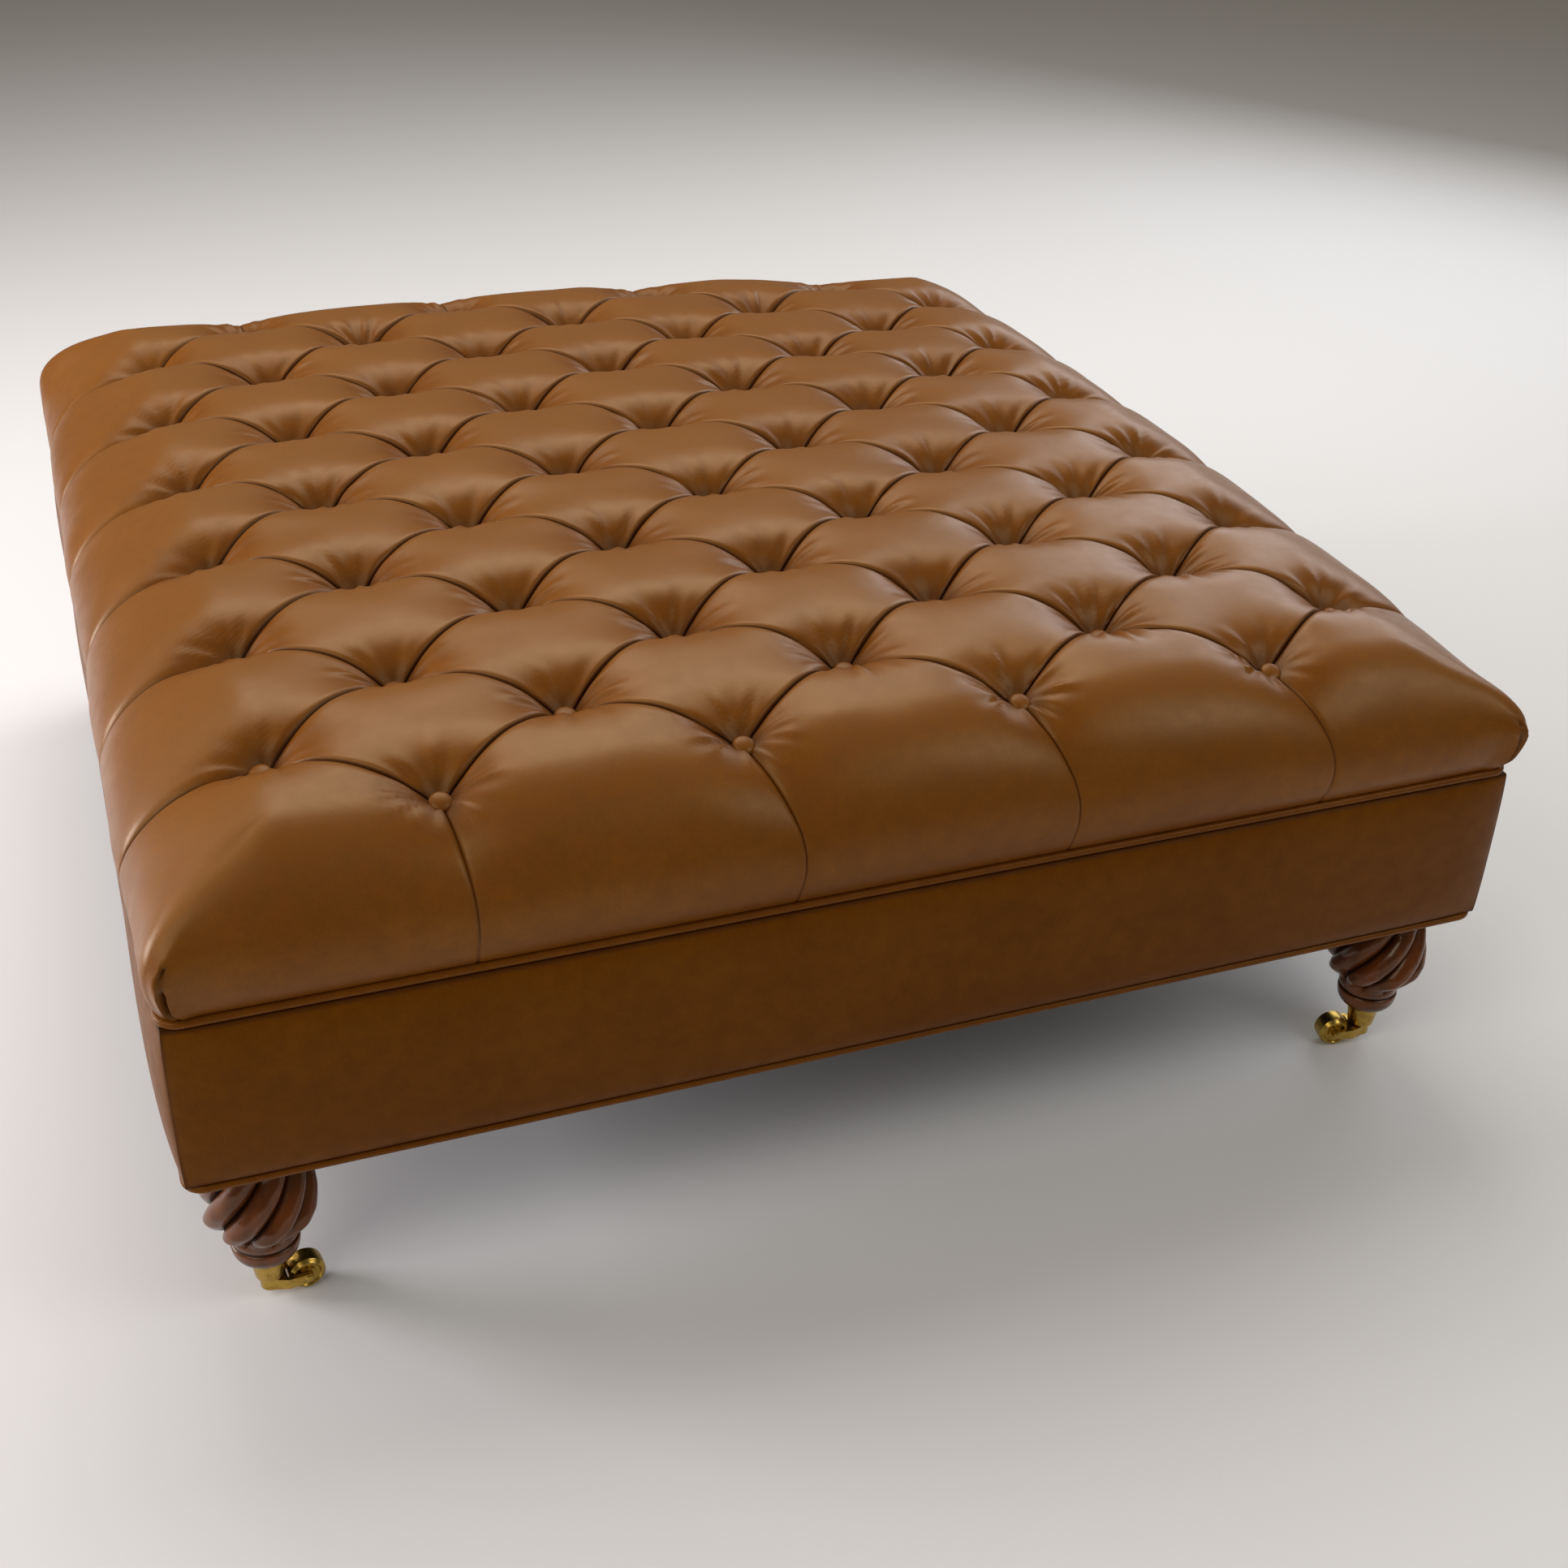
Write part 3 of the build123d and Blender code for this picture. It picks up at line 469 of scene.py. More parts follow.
@dataclass(frozen=True)
class Fibre:
    """Foam, twine or woven lining: a matt colour with a fine pattern of its own size."""

    name: str
    base: Colour
    shade: Colour
    scale: float
    woven: bool = False

    def material(self) -> bpy.types.Material:
        """Make the material.

        Returns:
            The matt material: two crossed waves if it is woven, or else open cells.
        """
        graph = Graph(self.name)
        where = graph.place()
        if self.woven:
            sockets = {"Vector": where, "Scale": self.scale}
            warp = graph.node("ShaderNodeTexWave", {"bands_direction": "X"}, sockets, 1)
            weft = graph.node("ShaderNodeTexWave", {"bands_direction": "Y"}, sockets, 1)
            pattern = warp * weft
        else:
            pattern = graph.ramp(graph.cells(where, self.scale), 0.1, 0.7)
        colour = graph.mix(pattern, self.shade, self.base)
        normal = graph.bump(pattern, 0.0004, 0.4)
        return graph.finish(Base_Color=colour, Roughness=0.92, Normal=normal)


class Finish(Enum):
    """The ottoman's finishes, by the record's slot names."""

    LEATHER = "leather"
    POLISHED_WOOD = "polished_wood"
    BRASS = "brass"
    HARDWOOD = "hardwood"
    PLYWOOD = "plywood"
    FOAM = "foam"
    TWINE = "twine"
    LINING = "lining"
    STEEL = "steel"


class Variant(Enum):
    """Leathers that stand in for a finish's own material on a piece, with shade and highlights painted from
    the mesh's values.
    """

    FOLDED = "tufted_leather_painted_light"
    BAND = "band_leather_painted_shade"


class Palette:
    """Makes each finish's material once."""

    def __init__(self) -> None:
        """List how each finish is made."""
        self.recipes = {
            Finish.LEATHER: Leather(
                base=(0.162, 0.047, 0.0020), warm=(0.186, 0.057, 0.0032), gloss=0.25, tint=(1.0, 0.76, 0.36)
            ),
            Finish.POLISHED_WOOD: Wood(
                "polished_foot_wood", (0.130, 0.029, 0.0045), (0.044, 0.0085, 0.0015), 0.21,
                gloss=0.52, tint=(1.0, 0.86, 0.68), worn=(0.24, 0.070, 0.013)
            ),
            Finish.BRASS: Metal("aged_brass", (0.52, 0.34, 0.070), (0.15, 0.08, 0.018), 0.24),
            Finish.HARDWOOD: Wood("sawn_hardwood", (0.46, 0.31, 0.17), (0.30, 0.19, 0.10), 0.72),
            Finish.PLYWOOD: Wood(
                "deck_plywood", (0.56, 0.42, 0.26), (0.42, 0.30, 0.17), 0.75, along=(0.12, 1.0, 1.0)
            ),
            Finish.FOAM: Fibre("core_foam", (0.78, 0.72, 0.50), (0.58, 0.52, 0.34), 700.0),
            Finish.TWINE: Fibre("waxed_twine", (0.55, 0.46, 0.30), (0.32, 0.25, 0.15), 900.0),
            Finish.LINING: Fibre("black_lining", (0.022, 0.022, 0.024), (0.006, 0.006, 0.007), 330.0, True),
            Finish.STEEL: Metal("zinc_steel", (0.52, 0.52, 0.53), (0.28, 0.27, 0.25), 0.38, 0.6),
            Variant.FOLDED: Leather(name=Variant.FOLDED.value, with_painted_light=True),
            # The band's leather is a darker, less glossy copy of the tufted leather, painted for the shade on
            # its upright faces.
            Variant.BAND: Leather(
                name=Variant.BAND.value, base=(0.158, 0.0475, 0.0016), warm=(0.180, 0.0565, 0.0026),
                roughness=0.42, gloss=0.13, tint=(1.0, 0.74, 0.28), with_painted_light=True
            ),
        }
        self.made: dict[Finish | Variant, bpy.types.Material] = {}

    def material(self, recipe: Finish | Variant) -> bpy.types.Material:
        """The recipe's material, made at its first use."""
        if recipe not in self.made:
            self.made[recipe] = self.recipes[recipe].material()
        return self.made[recipe]

    def dress(self, piece: bpy.types.Object, finish: Finish, variant: Variant | None = None) -> None:
        """Put a finish on a new piece.

        Args:
            piece: The new piece.
            finish: Its finish.
            variant: The leather to use in place of the finish's own.
        """
        piece.data.materials.clear()
        piece.data.materials.append(self.material(variant or finish))

    def dress_nodes(self) -> int:
        """Give each CAD node the material of its slot.

        Returns:
            How many nodes were dressed.
        """
        count = 0
        for part in frame["record"]["subparts"]:
            node = frame["nodes"][part["node"]]
            material = self.material(Finish(part["material_slot"]))
            if not node.data.materials:
                node.data.materials.append(material)
            for place in node.material_slots:
                place.material = material
            count += 1
        return count


# ----------------------------------------------------------------------------- tufted cushion


@dataclass(frozen=True)
class Fold:
    """One sewn edge of a puff."""

    distance: Array
    way: Array
    roundness: Array | float
    depth: Array | float
    lip: float = 0.0
    # shade: width and strength of the shade painted along the fold.
    shade: Array | float = 1.0


@dataclass
class TuftedCover:
    """The tufted leather cover: a crowned cushion with a puff between every four buttons."""

    pitch_x: float = 0.2504
    pitch_y: float = 0.0905
    rows: int = 13
    long_row: int = 5
    tuft_depth: float = 0.034
    crown_x: float = 0.025
    crown_y: float = 0.012
    edge_half: float = 0.6095
    belly: float = 0.0085
    foot_inset: float = 0.003
    tilt: float = 0.006
    back_tilt: float = 1.4
    turn_shares: tuple[float, float, float] = (0.80, 0.76, 0.75)
    drop_shares: tuple[float, float, float] = (0.74, 0.69, 0.66)
    drop_powers: tuple[float, float, float] = (0.94, 0.72, 0.72)
    front_droop: float = 0.024
    back_droop: float = 0.003
    back_left_corner: tuple[float, float] = (0.53, 0.98)
    front_right_corner: tuple[float, float] = (0.60, 0.74)
    edge_ridge: float = 0.07
    funnel_power: float = 1.95
    button_reach: float = 0.0095
    fold_depth: float = 0.0052
    front_round: float = 0.0105
    back_round: float = 0.0050
    lip: float = 0.0016
    lip_reach: float = 1.5
    pleat_depth: float = 0.0026
    pleat_round: float = 0.0048
    front_leans: tuple[float, ...] = (0.012, 0.034, 0.034, 0.038)
    side_lean: float = 0.012
    cells: int = 40
    side_cells: int = 44
    fan_cells: int = 13
    corner_narrowing: float = 0.95
    ear: float = 0.0070
    ear_width: float = 0.016
    crease: float = 0.0028
    crease_width: float = 0.0075
    crease_window: tuple[float, float, float, float] = (0.42, 0.68, 0.72, 0.90)
    slit: float = 0.0115
    slit_width: float = 0.0015
    slit_shift: float = 0.0006
    fan_share: float = 0.10
    skirt_x: float = 0.222
    skirt_y: float = 0.190
    # shade_width and funnel_shade set the shade painted into the colour along the folds and down the funnels
    # to the buttons.
    shade_width: float = 0.0027
    quiet_width: float = 0.0022
    funnel_fade_side: float = 0.043
    funnel_fade_front: float = 0.062
    funnel_fade_back: float = 0.026
    funnel_fade_power: float = 1.7
    funnel_shade: float = 0.46
    gather_height: float = 0.0019
    gather_ring: tuple[float, float, float, float] = (0.012, 0.026, 0.028, 0.062)
    panel_bulge: float = 0.004

    def __post_init__(self) -> None:
        """Read the levels from the CAD cover and list the buttons."""
        low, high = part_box("tufted_cover")
        self.bottom = low.z
        self.top = high.z
        self.last_x = self.pitch_x * (self.long_row - 1) / 2
        self.last_y = self.pitch_y * (self.rows - 1) / 2
        places = []
        for row in range(self.rows):
            count = self.long_row - 1 + row % 2
            y = self.pitch_y * (row - (self.rows - 1) / 2)
            places += [(self.pitch_x * (index - (count - 1) / 2), y) for index in range(count)]
        self.buttons = np.array(places)

    # -- the plain cushion without tufts

    def crest_height(self, x: Array, y: Array) -> Array:
        """Height of the crown: the middle's height less a square law along each way and a slight lean.

        The lean to the right grows towards the back.
        """
        across, along = x / self.edge_half, y / self.edge_half
        lean = self.tilt * across * (1.0 + self.back_tilt * np.maximum(along, 0.0) ** 1.5)
        return self.top - self.crown_x * across**2 - self.crown_y * along**2 - lean - self.droop(x, y)

    def droop(self, x: Array, y: Array) -> Array:
        """How far the crown bends down to its front and back edges: an eighth power, less at the ends."""
        most = np.where(y < 0.0, self.front_droop, self.back_droop)
        ends = 1.0 - 0.85 * np.minimum(np.abs(x) / self.edge_half, 1.0) ** 6
        return most * ends * (np.abs(y) / self.edge_half) ** 8

    def seat_depth(self, x: Array, y: Array) -> Array:
        """Depth of a button under the crown, less by the droop so that the buttons stay level."""
        held_x = np.clip(x, -self.last_x, self.last_x)
        held_y = np.clip(y, -self.last_y, self.last_y)
        return self.tuft_depth - self.droop(held_x, held_y)

    def past(self, u: Array, v: Array) -> tuple[Array, Array]:
        """How far down each side a flattened place lies: 0 at the last buttons, 1 at the welt."""
        over_x = np.clip((np.abs(u) - self.last_x) / self.skirt_x, 0.0, None)
        over_y = np.clip((np.abs(v) - self.last_y) / self.skirt_y, 0.0, None)
        return over_x, over_y

    def nearest(self, flat: Array) -> tuple[Array, Array]:
        """The number of each place's nearest button, and how far away it is."""
        gap = np.linalg.norm(flat[:, None, :] - self.buttons[None, :, :], axis=2)
        number = gap.argmin(1)
        return number, gap[np.arange(len(flat)), number]

    @staticmethod
    def by_side(values: Sequence[Array | float], share_x: Array, share_y: Array) -> Array:
        """A value that blends from the front and back's to the left and right's, with its own at a corner."""
        way = (1.0 + share_x - share_y) / 2.0
        level, side, corner = values
        plain = level + (side - level) * smoothstep(0.0, 1.0, way)
        return plain + (corner - (level + side) / 2.0) * (4.0 * way * (1.0 - way)) ** 2

    def base(self, u: Array, v: Array) -> Array:
        """The plain cushion's surface.

        Args:
            u: Flattened place along X; beyond the last button it is a length down the side.
            v: The same along Y.

        Returns:
            Points: a flat plan between the last buttons, then a quarter ellipse over the edge and a side
            that draws in to the welt; at a corner the two edges meet in a rounded square whose power
            grows from soft at the top to tight at the welt.
        """
        over_x, over_y = self.past(u, v)
        along = np.maximum(over_x, over_y)
        safe = np.maximum(along, 1e-9)
        power = 2.4 + 13.0 * smoothstep(0.15, 0.75, along)
        share_x, share_y = over_x / safe, over_y / safe
        norm = np.maximum((share_x**power + share_y**power) ** (1.0 / power), 1e-9)
        turn_share = self.by_side(self.turn_shares, share_x, share_y)
        back_left = (u < 0.0) & (v > 0.0)
        front_right = (u > 0.0) & (v < 0.0)
        corners = [
            np.where(back_left, first, np.where(front_right, second, values[2]))
            for first, second, values in zip(
                self.back_left_corner, self.front_right_corner, (self.drop_shares, self.drop_powers)
            )
        ]
        drop_share = self.by_side((*self.drop_shares[:2], corners[0]), share_x, share_y)
        drop_power = self.by_side((*self.drop_powers[:2], corners[1]), share_x, share_y)
        turn = unit(along / turn_share) * np.pi / 2.0
        side = unit((along - turn_share) / (1.0 - turn_share))
        drop = drop_share * np.maximum(1.0 - np.cos(turn), 0.0) ** drop_power + (1.0 - drop_share) * side
        places = []
        for flat, last, share in ((u, self.last_x, share_x), (v, self.last_y, share_y)):
            reach = self.edge_half + self.belly - last
            inward = (self.belly + self.foot_inset) * side**2.2
            out = (reach * np.sin(turn) - inward) * np.where(along > 0, share / norm, 0.0)
            places.append(np.sign(flat) * (np.minimum(np.abs(flat), last) + out))
        x, y = places
        crest = self.crest_height(x, y)
        z = self.bottom + (crest - self.bottom) * (1.0 - drop)
        return np.stack([x, y, z], -1)

    def normals(self, u: Array, v: Array) -> Array:
        """Unit normals of the plain cushion, from its slopes over half a millimetre."""
        step = 5e-4
        across = self.base(u + step, v) - self.base(u - step, v)
        along = self.base(u, v + step) - self.base(u, v - step)
        normal = np.cross(across, along)
        return normal / np.maximum(np.linalg.norm(normal, axis=-1, keepdims=True), 1e-12)

    # -- the tufts

    def tuft_share(self, u: Array, v: Array) -> Array:
        """How far down a place is pulled, from 0 on a puff's crest to 1 at a button.

        The plan is first drawn in towards the nearest button by the button's own radius. In the diagonal
        coordinates s and t, which run from -1 to 1 between the folds, the share is a ridge term
        (s^2 + t^2) / 2 and a funnel term |s t| to a power. Past the last buttons it fades down the side.
        """
        flat = np.stack([u, v], -1)
        shape = flat.shape[:-1]
        flat = flat.reshape(-1, 2)
        nearest, radius = self.nearest(flat)
        centre = self.buttons[nearest]
        pull = self.button_reach * np.exp(-np.maximum(radius - self.button_reach, 0.0) / 0.03)
        scale = np.maximum(radius - pull, 0.0) / np.maximum(radius, 1e-9)
        flat = centre + (flat - centre) * scale[:, None]
        held_x = np.clip(flat[:, 0], -self.last_x, self.last_x)
        held_y = np.clip(flat[:, 1], -self.last_y, self.last_y)
        half_x = self.pitch_x / 2
        p = held_x / half_x
        q = held_y / self.pitch_y
        s = (p + q) / 2.0
        t = (q - p) / 2.0
        s = np.abs(s - np.round(s)) * 2.0
        t = np.abs(t - np.round(t)) * 2.0
        ridge = self.edge_ridge * 2.0
        share = ridge * (s**2 + t**2) / 2.0 + (1.0 - ridge) * (s * t) ** self.funnel_power
        past_x = np.maximum(np.abs(flat[:, 0]) - self.last_x, 0.0)
        past_y = np.maximum(np.abs(flat[:, 1]) - self.last_y, 0.0)
        reach_y = np.where(flat[:, 1] < 0.0, self.funnel_fade_front, self.funnel_fade_back)
        power = self.funnel_fade_power
        fade = np.exp(-((past_x / self.funnel_fade_side) ** power)) * np.exp(-((past_y / reach_y) ** power))
        return (share * fade).reshape(shape)

    def surface(self, u: Array, v: Array, folds: Sequence[Fold], tag: int) -> tuple[Array, Array, Array]:
        """The tufted surface over flattened places.

        Args:
            u: Flattened X.
            v: Flattened Y.
            folds: The patch's sewn edges.
            tag: The patch's number, for its own wrinkles.

        Returns:
            Points, and the painted shade (fold) and painted highlight (crest) values for the leather's
            colour. A shoulder is a quarter
            circle: depth times 1 less the root of 1 less the square of the share left to the fold. A lip
            leans out over its fold by half a sine.
        """
        points = self.base(u, v)
        normal = self.normals(u, v)
        share = self.tuft_share(u, v)
        flat = np.stack([u, v, np.zeros_like(u)], -1).reshape(-1, 3)
        down = np.maximum(*self.past(u, v))
        calm = (1.0 - smoothstep(0.0, 0.5, share)) * (1.0 - smoothstep(0.8, 1.0, down))
        soft = value_noise(flat, 0.11, 3) * 0.0018 + value_noise(flat, 0.045, 5) * 0.0008
        sink = share * self.seat_depth(u, v) - soft.reshape(u.shape) * calm
        groove = np.zeros_like(u)
        near = np.zeros_like(u)
        shade = np.zeros_like(u)
        push = np.zeros(u.shape + (2,))
        for number, fold in enumerate(folds):
            left = unit(1.0 - fold.distance / fold.roundness)
            groove = np.maximum(groove, fold.depth * (1.0 - np.sqrt(np.maximum(1.0 - left**2, 0.0))))
            near = np.maximum(near, unit(1.0 - fold.distance / self.quiet_width))
            # Painted shade along each fold, as wide and strong as the fold's shade.
            line = unit(1.0 - fold.distance / (self.shade_width * fold.shade))
            shade = np.maximum(shade, line * fold.shade)
            if fold.lip > 0.0:
                clear = np.ones_like(u)
                for other_number, other in enumerate(folds):
                    if other_number != number:
                        clear = clear * smoothstep(0.0, 0.008, other.distance)
                out = unit(fold.distance / (self.back_round * self.lip_reach))
                bulge = np.sin(np.pi * out) * fold.lip * clear
                push = push - fold.way * bulge[..., None]
        deep = smoothstep(0.55, 0.95, share)
        sink = sink + groove * (1.0 - 0.5 * deep) - self.gathers(u, v, near, tag)
        points = points - normal * sink[..., None]
        points[..., :2] += push
        # Painted shade: dark lines along the folds and darkening down the funnels to the buttons.
        dark = unit(shade**1.2 + smoothstep(0.40, 1.0, share) * self.funnel_shade)
        # Painted highlight: lighter on the puffs' crests where they face up.
        crest = (1.0 - smoothstep(0.02, 0.30, share)) * unit(normal[..., 2]) ** 2
        return points, dark, crest

    def gathers(self, u: Array, v: Array, near: Array, tag: int) -> Array:
        """Soft ridges that run out from each button: a cosine of the angle round it, strongest 2 cm away."""
        flat = np.stack([u, v], -1).reshape(-1, 2)
        nearest, radius = self.nearest(flat)
        offset = flat - self.buttons[nearest]
        angle = np.arctan2(offset[:, 1], offset[:, 0])
        seed = np.stack([nearest, np.full_like(nearest, tag % 7), np.zeros_like(nearest)], -1).astype(float)
        phase = hashed(seed, 11) * 2.0 * np.pi
        count = 9.0 + np.floor(hashed(seed, 12) * 5.0)
        strength = 0.35 + 0.65 * hashed(seed, 13)
        ridge = np.cos(count * angle + phase) + 0.5 * np.cos(np.floor(count * 1.7) * angle + 2.0 * phase)
        ring = window(self.gather_ring, radius)
        quiet = 1.0 - smoothstep(0.0, 0.6, near.reshape(-1))
        return (ridge * ring * quiet * strength * self.gather_height).reshape(u.shape)

    def diamond(self, shape: Shape, x: float, y: float, tag: int) -> None:
        """Add the puff of a whole diamond with its middle at a place.

        The patch is a square in s and t, with u = x + half a pitch times (s - t) / 2 and
        v = y + a row times (s + t) / 2.
        """
        nodes = graded(self.cells, 0.82)
        s, t = np.meshgrid(nodes, nodes, indexing="ij")
        half_x = self.pitch_x / 2
        u = x + half_x * (s - t) / 2.0
        v = y + self.pitch_y * (s + t) / 2.0
        slant = math.hypot(half_x, self.pitch_y)
        apart = 2.0 * half_x * self.pitch_y / slant
        way = np.array([self.pitch_y, half_x]) / slant
        other = np.array([-self.pitch_y, half_x]) / slant
        folds = (
            Fold((1.0 - s) * apart / 2, -way, self.front_round, self.fold_depth),
            Fold((1.0 - t) * apart / 2, -other, self.front_round, self.fold_depth),
            Fold((1.0 + s) * apart / 2, way, self.back_round, self.fold_depth, self.lip),
            Fold((1.0 + t) * apart / 2, other, self.back_round, self.fold_depth, self.lip),
        )
        points, dark, crest = self.surface(u, v, folds, tag)
        shape.grid(points, flip=True, fold=dark, crest=crest)

    def side_panel(
        self, shape: Shape, side: str, middle: float, leans: tuple[float, float], tag: int
    ) -> None:
        """Add the panel between two pleats of one side.

        Columns run from the folds above down to the welt; across, a runs from -1 to 1 between the pleats.

        Args:
            shape: The cover.
            side: Which side.
            middle: Place of the panel's middle along the side.
            leans: How far the two pleats lean along the side on their way down.
            tag: The panel's number.
        """
        level = side in ("front", "back")
        half = self.pitch_x / 2 if level else self.pitch_y
        rise = self.pitch_y if level else self.pitch_x / 2
        last = self.last_y if level else self.last_x
        skirt = self.skirt_y if level else self.skirt_x
        outward = -1.0 if side in ("front", "left") else 1.0
        nodes = graded(self.cells, 0.82)
        across = np.concatenate([(nodes - 1.0) / 2.0, ((nodes + 1.0) / 2.0)[1:]])
        down = (graded(self.side_cells, 0.72) + 1.0) / 2.0
        a, d = np.meshgrid(across, down, indexing="ij")
        beyond = d * (skirt + rise * (1.0 - np.abs(a))) - rise * (1.0 - np.abs(a))
        share = unit(beyond / skirt)
        fall = self.lean_curve(share)
        shift = (leans[0] * (1.0 - a) / 2.0 + leans[1] * (1.0 + a) / 2.0) * fall
        slant = math.hypot(half, rise)
        top_gap = (beyond + rise * (1.0 - np.abs(a))) * half / slant
        pleat_gap = (1.0 - np.abs(a)) * half + np.maximum(-beyond, 0.0) * 0.4
        weak, pleat_round, pleat_shade = self.pleat(share, level)
        inside = np.where(a < 0, 1.0, -1.0)
        none = np.zeros_like(a)
        ways = (
            np.stack([-inside * rise / slant, none + outward * half / slant], -1),
            np.stack([inside, none], -1),
        )
        u, v = middle + a * half, outward * (last + beyond)
        if not level:
            u, v = v, u
            ways = (ways[0][..., ::-1], ways[1][..., ::-1])
        own = self.back_round if side == "back" else self.front_round
        round_top = np.where(a < 0, self.back_round, self.front_round) if not level else none + own
        shared = smoothstep(0.75, 1.0, np.abs(a))
        round_top = round_top + (self.front_round - round_top) * shared
        lip = self.lip if side == "back" else 0.0
        folds = (
            Fold(top_gap, ways[0], round_top, self.fold_depth, lip),
            Fold(pleat_gap, ways[1], pleat_round, weak, 0.0, pleat_shade),
        )
        points, dark, crest = self.surface(u, v, folds, tag)
        swell = self.panel_swell(a, share)
        points = points + self.normals(u, v) * swell[..., None]
        points[..., 0 if level else 1] += shift
        self.add(shape, points, side in ("back", "left"), dark, crest)

    def add(self, shape: Shape, points: Array, flip: bool, dark: Array, crest: Array) -> None:
        """Add a patch that ends at the welt, and its share of the flat bottom.

        Args:
            shape: The cover.
            points: The patch, whose last column lies on the welt.
            flip: Turn the faces round.
            dark: Painted shade values.
            crest: Painted highlight values.
        """
        shape.grid(points, flip=flip, fold=dark, crest=crest)
        rim = points[:, -1]
        inner = rim * np.array([0.9, 0.9, 0.0]) + np.array([0.0, 0.0, self.bottom + 0.0005])
        middle = np.zeros_like(rim) + np.array([0.0, 0.0, self.bottom + 0.0005])
        under = np.stack([rim, inner, middle], 1)
        # The hidden bottom is painted fully in shade.
        shape.grid(under, flip=flip, fold=np.ones(1), crest=np.zeros(1))

    def pleat(self, share: Array, level: bool) -> tuple[Array, Array, Array]:
        """Depth, roundness and shade of a pleat at a share of its way down.

        Args:
            share: 0 at the last buttons, 1 at the welt.
            level: True on the front and back, where the pleats are thin; the left and right ones go over
                the shoulder as deep as the folds and fade below it.

        Returns:
            The three values.
        """
        if level:
            thin = self.pleat_depth * (1.0 - 0.62 * smoothstep(0.25, 1.0, share))
            return thin, np.full_like(share, self.pleat_round), np.full_like(share, 0.55)
        fade = smoothstep(0.30, 0.85, share)
        depth = self.fold_depth * (1.0 - 0.80 * fade)
        roundness = self.front_round + (self.pleat_round - self.front_round) * fade
        return depth, roundness, 1.0 - 0.5 * fade

    @staticmethod
    def lean_curve(share: Array) -> Array:
        """How a pleat leans on its way down: out to the full lean past the middle, then back by a quarter."""
        return smoothstep(0.0, 0.80, share) - 0.26 * smoothstep(0.52, 1.0, share)

    def panel_swell(self, a: Array, share: Array) -> Array:
        """How far a side panel bulges between its pleats: by 1 - a^4, on the shoulder only."""
        return self.panel_bulge * (1.0 - a**4) * window((0.05, 0.45, 0.55, 1.0), share)

    def fan(self) -> tuple[Array, Array]:
        """Where a corner panel's columns begin along its fold, and where they end along the welt.

        Extra columns begin together at the fold's middle and end close by the corner, packed by a power.
        """
        nodes = (graded(self.cells, 0.82) + 1.0) / 2.0
        half = self.cells // 2
        spread = np.linspace(-1.0, 1.0, 2 * self.fan_cells + 1)
        spread = np.sign(spread) * np.abs(spread) ** 1.7 * self.fan_share
        low = nodes[: half + 1] * (0.5 - self.fan_share) / 0.5
        high = 1.0 - low[::-1]
        begin = np.concatenate([nodes[:half], np.full(2 * self.fan_cells + 1, 0.5), nodes[half + 1:]])
        finish = np.concatenate([low[:half], 0.5 + spread, high[1:]])
        return begin, finish

    def corner(
        self, shape: Shape, sign_x: float, sign_y: float, lean: float, side_lean: float, tag: int
    ) -> None:
        """Add a corner panel: columns fan out from the fold between two buttons, round the corner.

        Args:
            shape: The cover.
            sign_x: Which end along X.
            sign_y: Which end along Y.
            lean: How far the pleat on the front or back leans along X.
            side_lean: How far the pleat on the left or right leans along Y.
            tag: The panel's number.
        """
        first = np.array([self.last_x - self.pitch_x / 2, self.last_y])
        second = np.array([self.last_x, self.last_y - self.pitch_y])
        begin, finish = self.fan()
        down = (graded(self.side_cells, 0.72) + 1.0) / 2.0
        a, d = np.meshgrid(begin, down, indexing="ij")
        e, d = np.meshgrid(finish, down, indexing="ij")
        start = first + (second - first) * a[..., None]
        far_x = self.last_x + self.skirt_x
        far_y = self.last_y + self.skirt_y
        half = unit(e * 2.0)
        other = unit(e * 2.0 - 1.0)
        end = np.stack([first[0] + (far_x - first[0]) * half, far_y + (second[1] - far_y) * other], -1)
        flat = start + (end - start) * d[..., None]
        fold_way = np.array([self.pitch_y, self.pitch_x / 2])
        fold_way = fold_way / np.linalg.norm(fold_way)
        top_gap = (flat - first) @ fold_way
        pleat_x = flat[..., 0] - first[0] + np.maximum(first[1] - flat[..., 1], 0.0) * 0.4
        pleat_y = flat[..., 1] - second[1] + np.maximum(second[0] - flat[..., 0], 0.0) * 0.4
        past_x = unit((flat[..., 0] - self.last_x) / self.skirt_x)
        past_y = unit((flat[..., 1] - self.last_y) / self.skirt_y)
        weak_x, round_x, shade_x = self.pleat(past_y, True)
        weak_y, round_y, shade_y = self.pleat(past_x, False)
        none = np.zeros_like(a)
        inward = np.stack([none + fold_way[0] * sign_x, none + fold_way[1] * sign_y], -1)
        way_x = np.stack([none + sign_x, none], -1)
        way_y = np.stack([none, none + sign_y], -1)
        folds = (
            Fold(np.maximum(top_gap, 0.0), inward, self.front_round, self.fold_depth),
            Fold(np.maximum(pleat_x, 0.0), way_x, round_x, weak_x, 0.0, shade_x),
            Fold(np.maximum(pleat_y, 0.0), way_y, round_y, weak_y, 0.0, shade_y),
        )
        points, dark, crest = self.surface(flat[..., 0] * sign_x, flat[..., 1] * sign_y, folds, tag)
        deep = np.maximum(past_x, past_y)
        inside = np.minimum(past_x, past_y) > 0
        off = (past_x * self.skirt_x - past_y * self.skirt_y) * self.corner_narrowing
        ear = np.exp(-((off / self.ear_width) ** 2)) * smoothstep(0.50, 0.78, deep)
        ear = ear * (1.0 - 0.75 * smoothstep(0.90, 1.0, deep))
        crisp = np.exp(-np.abs(off / self.crease_width) ** 1.3) * window(self.crease_window, deep)
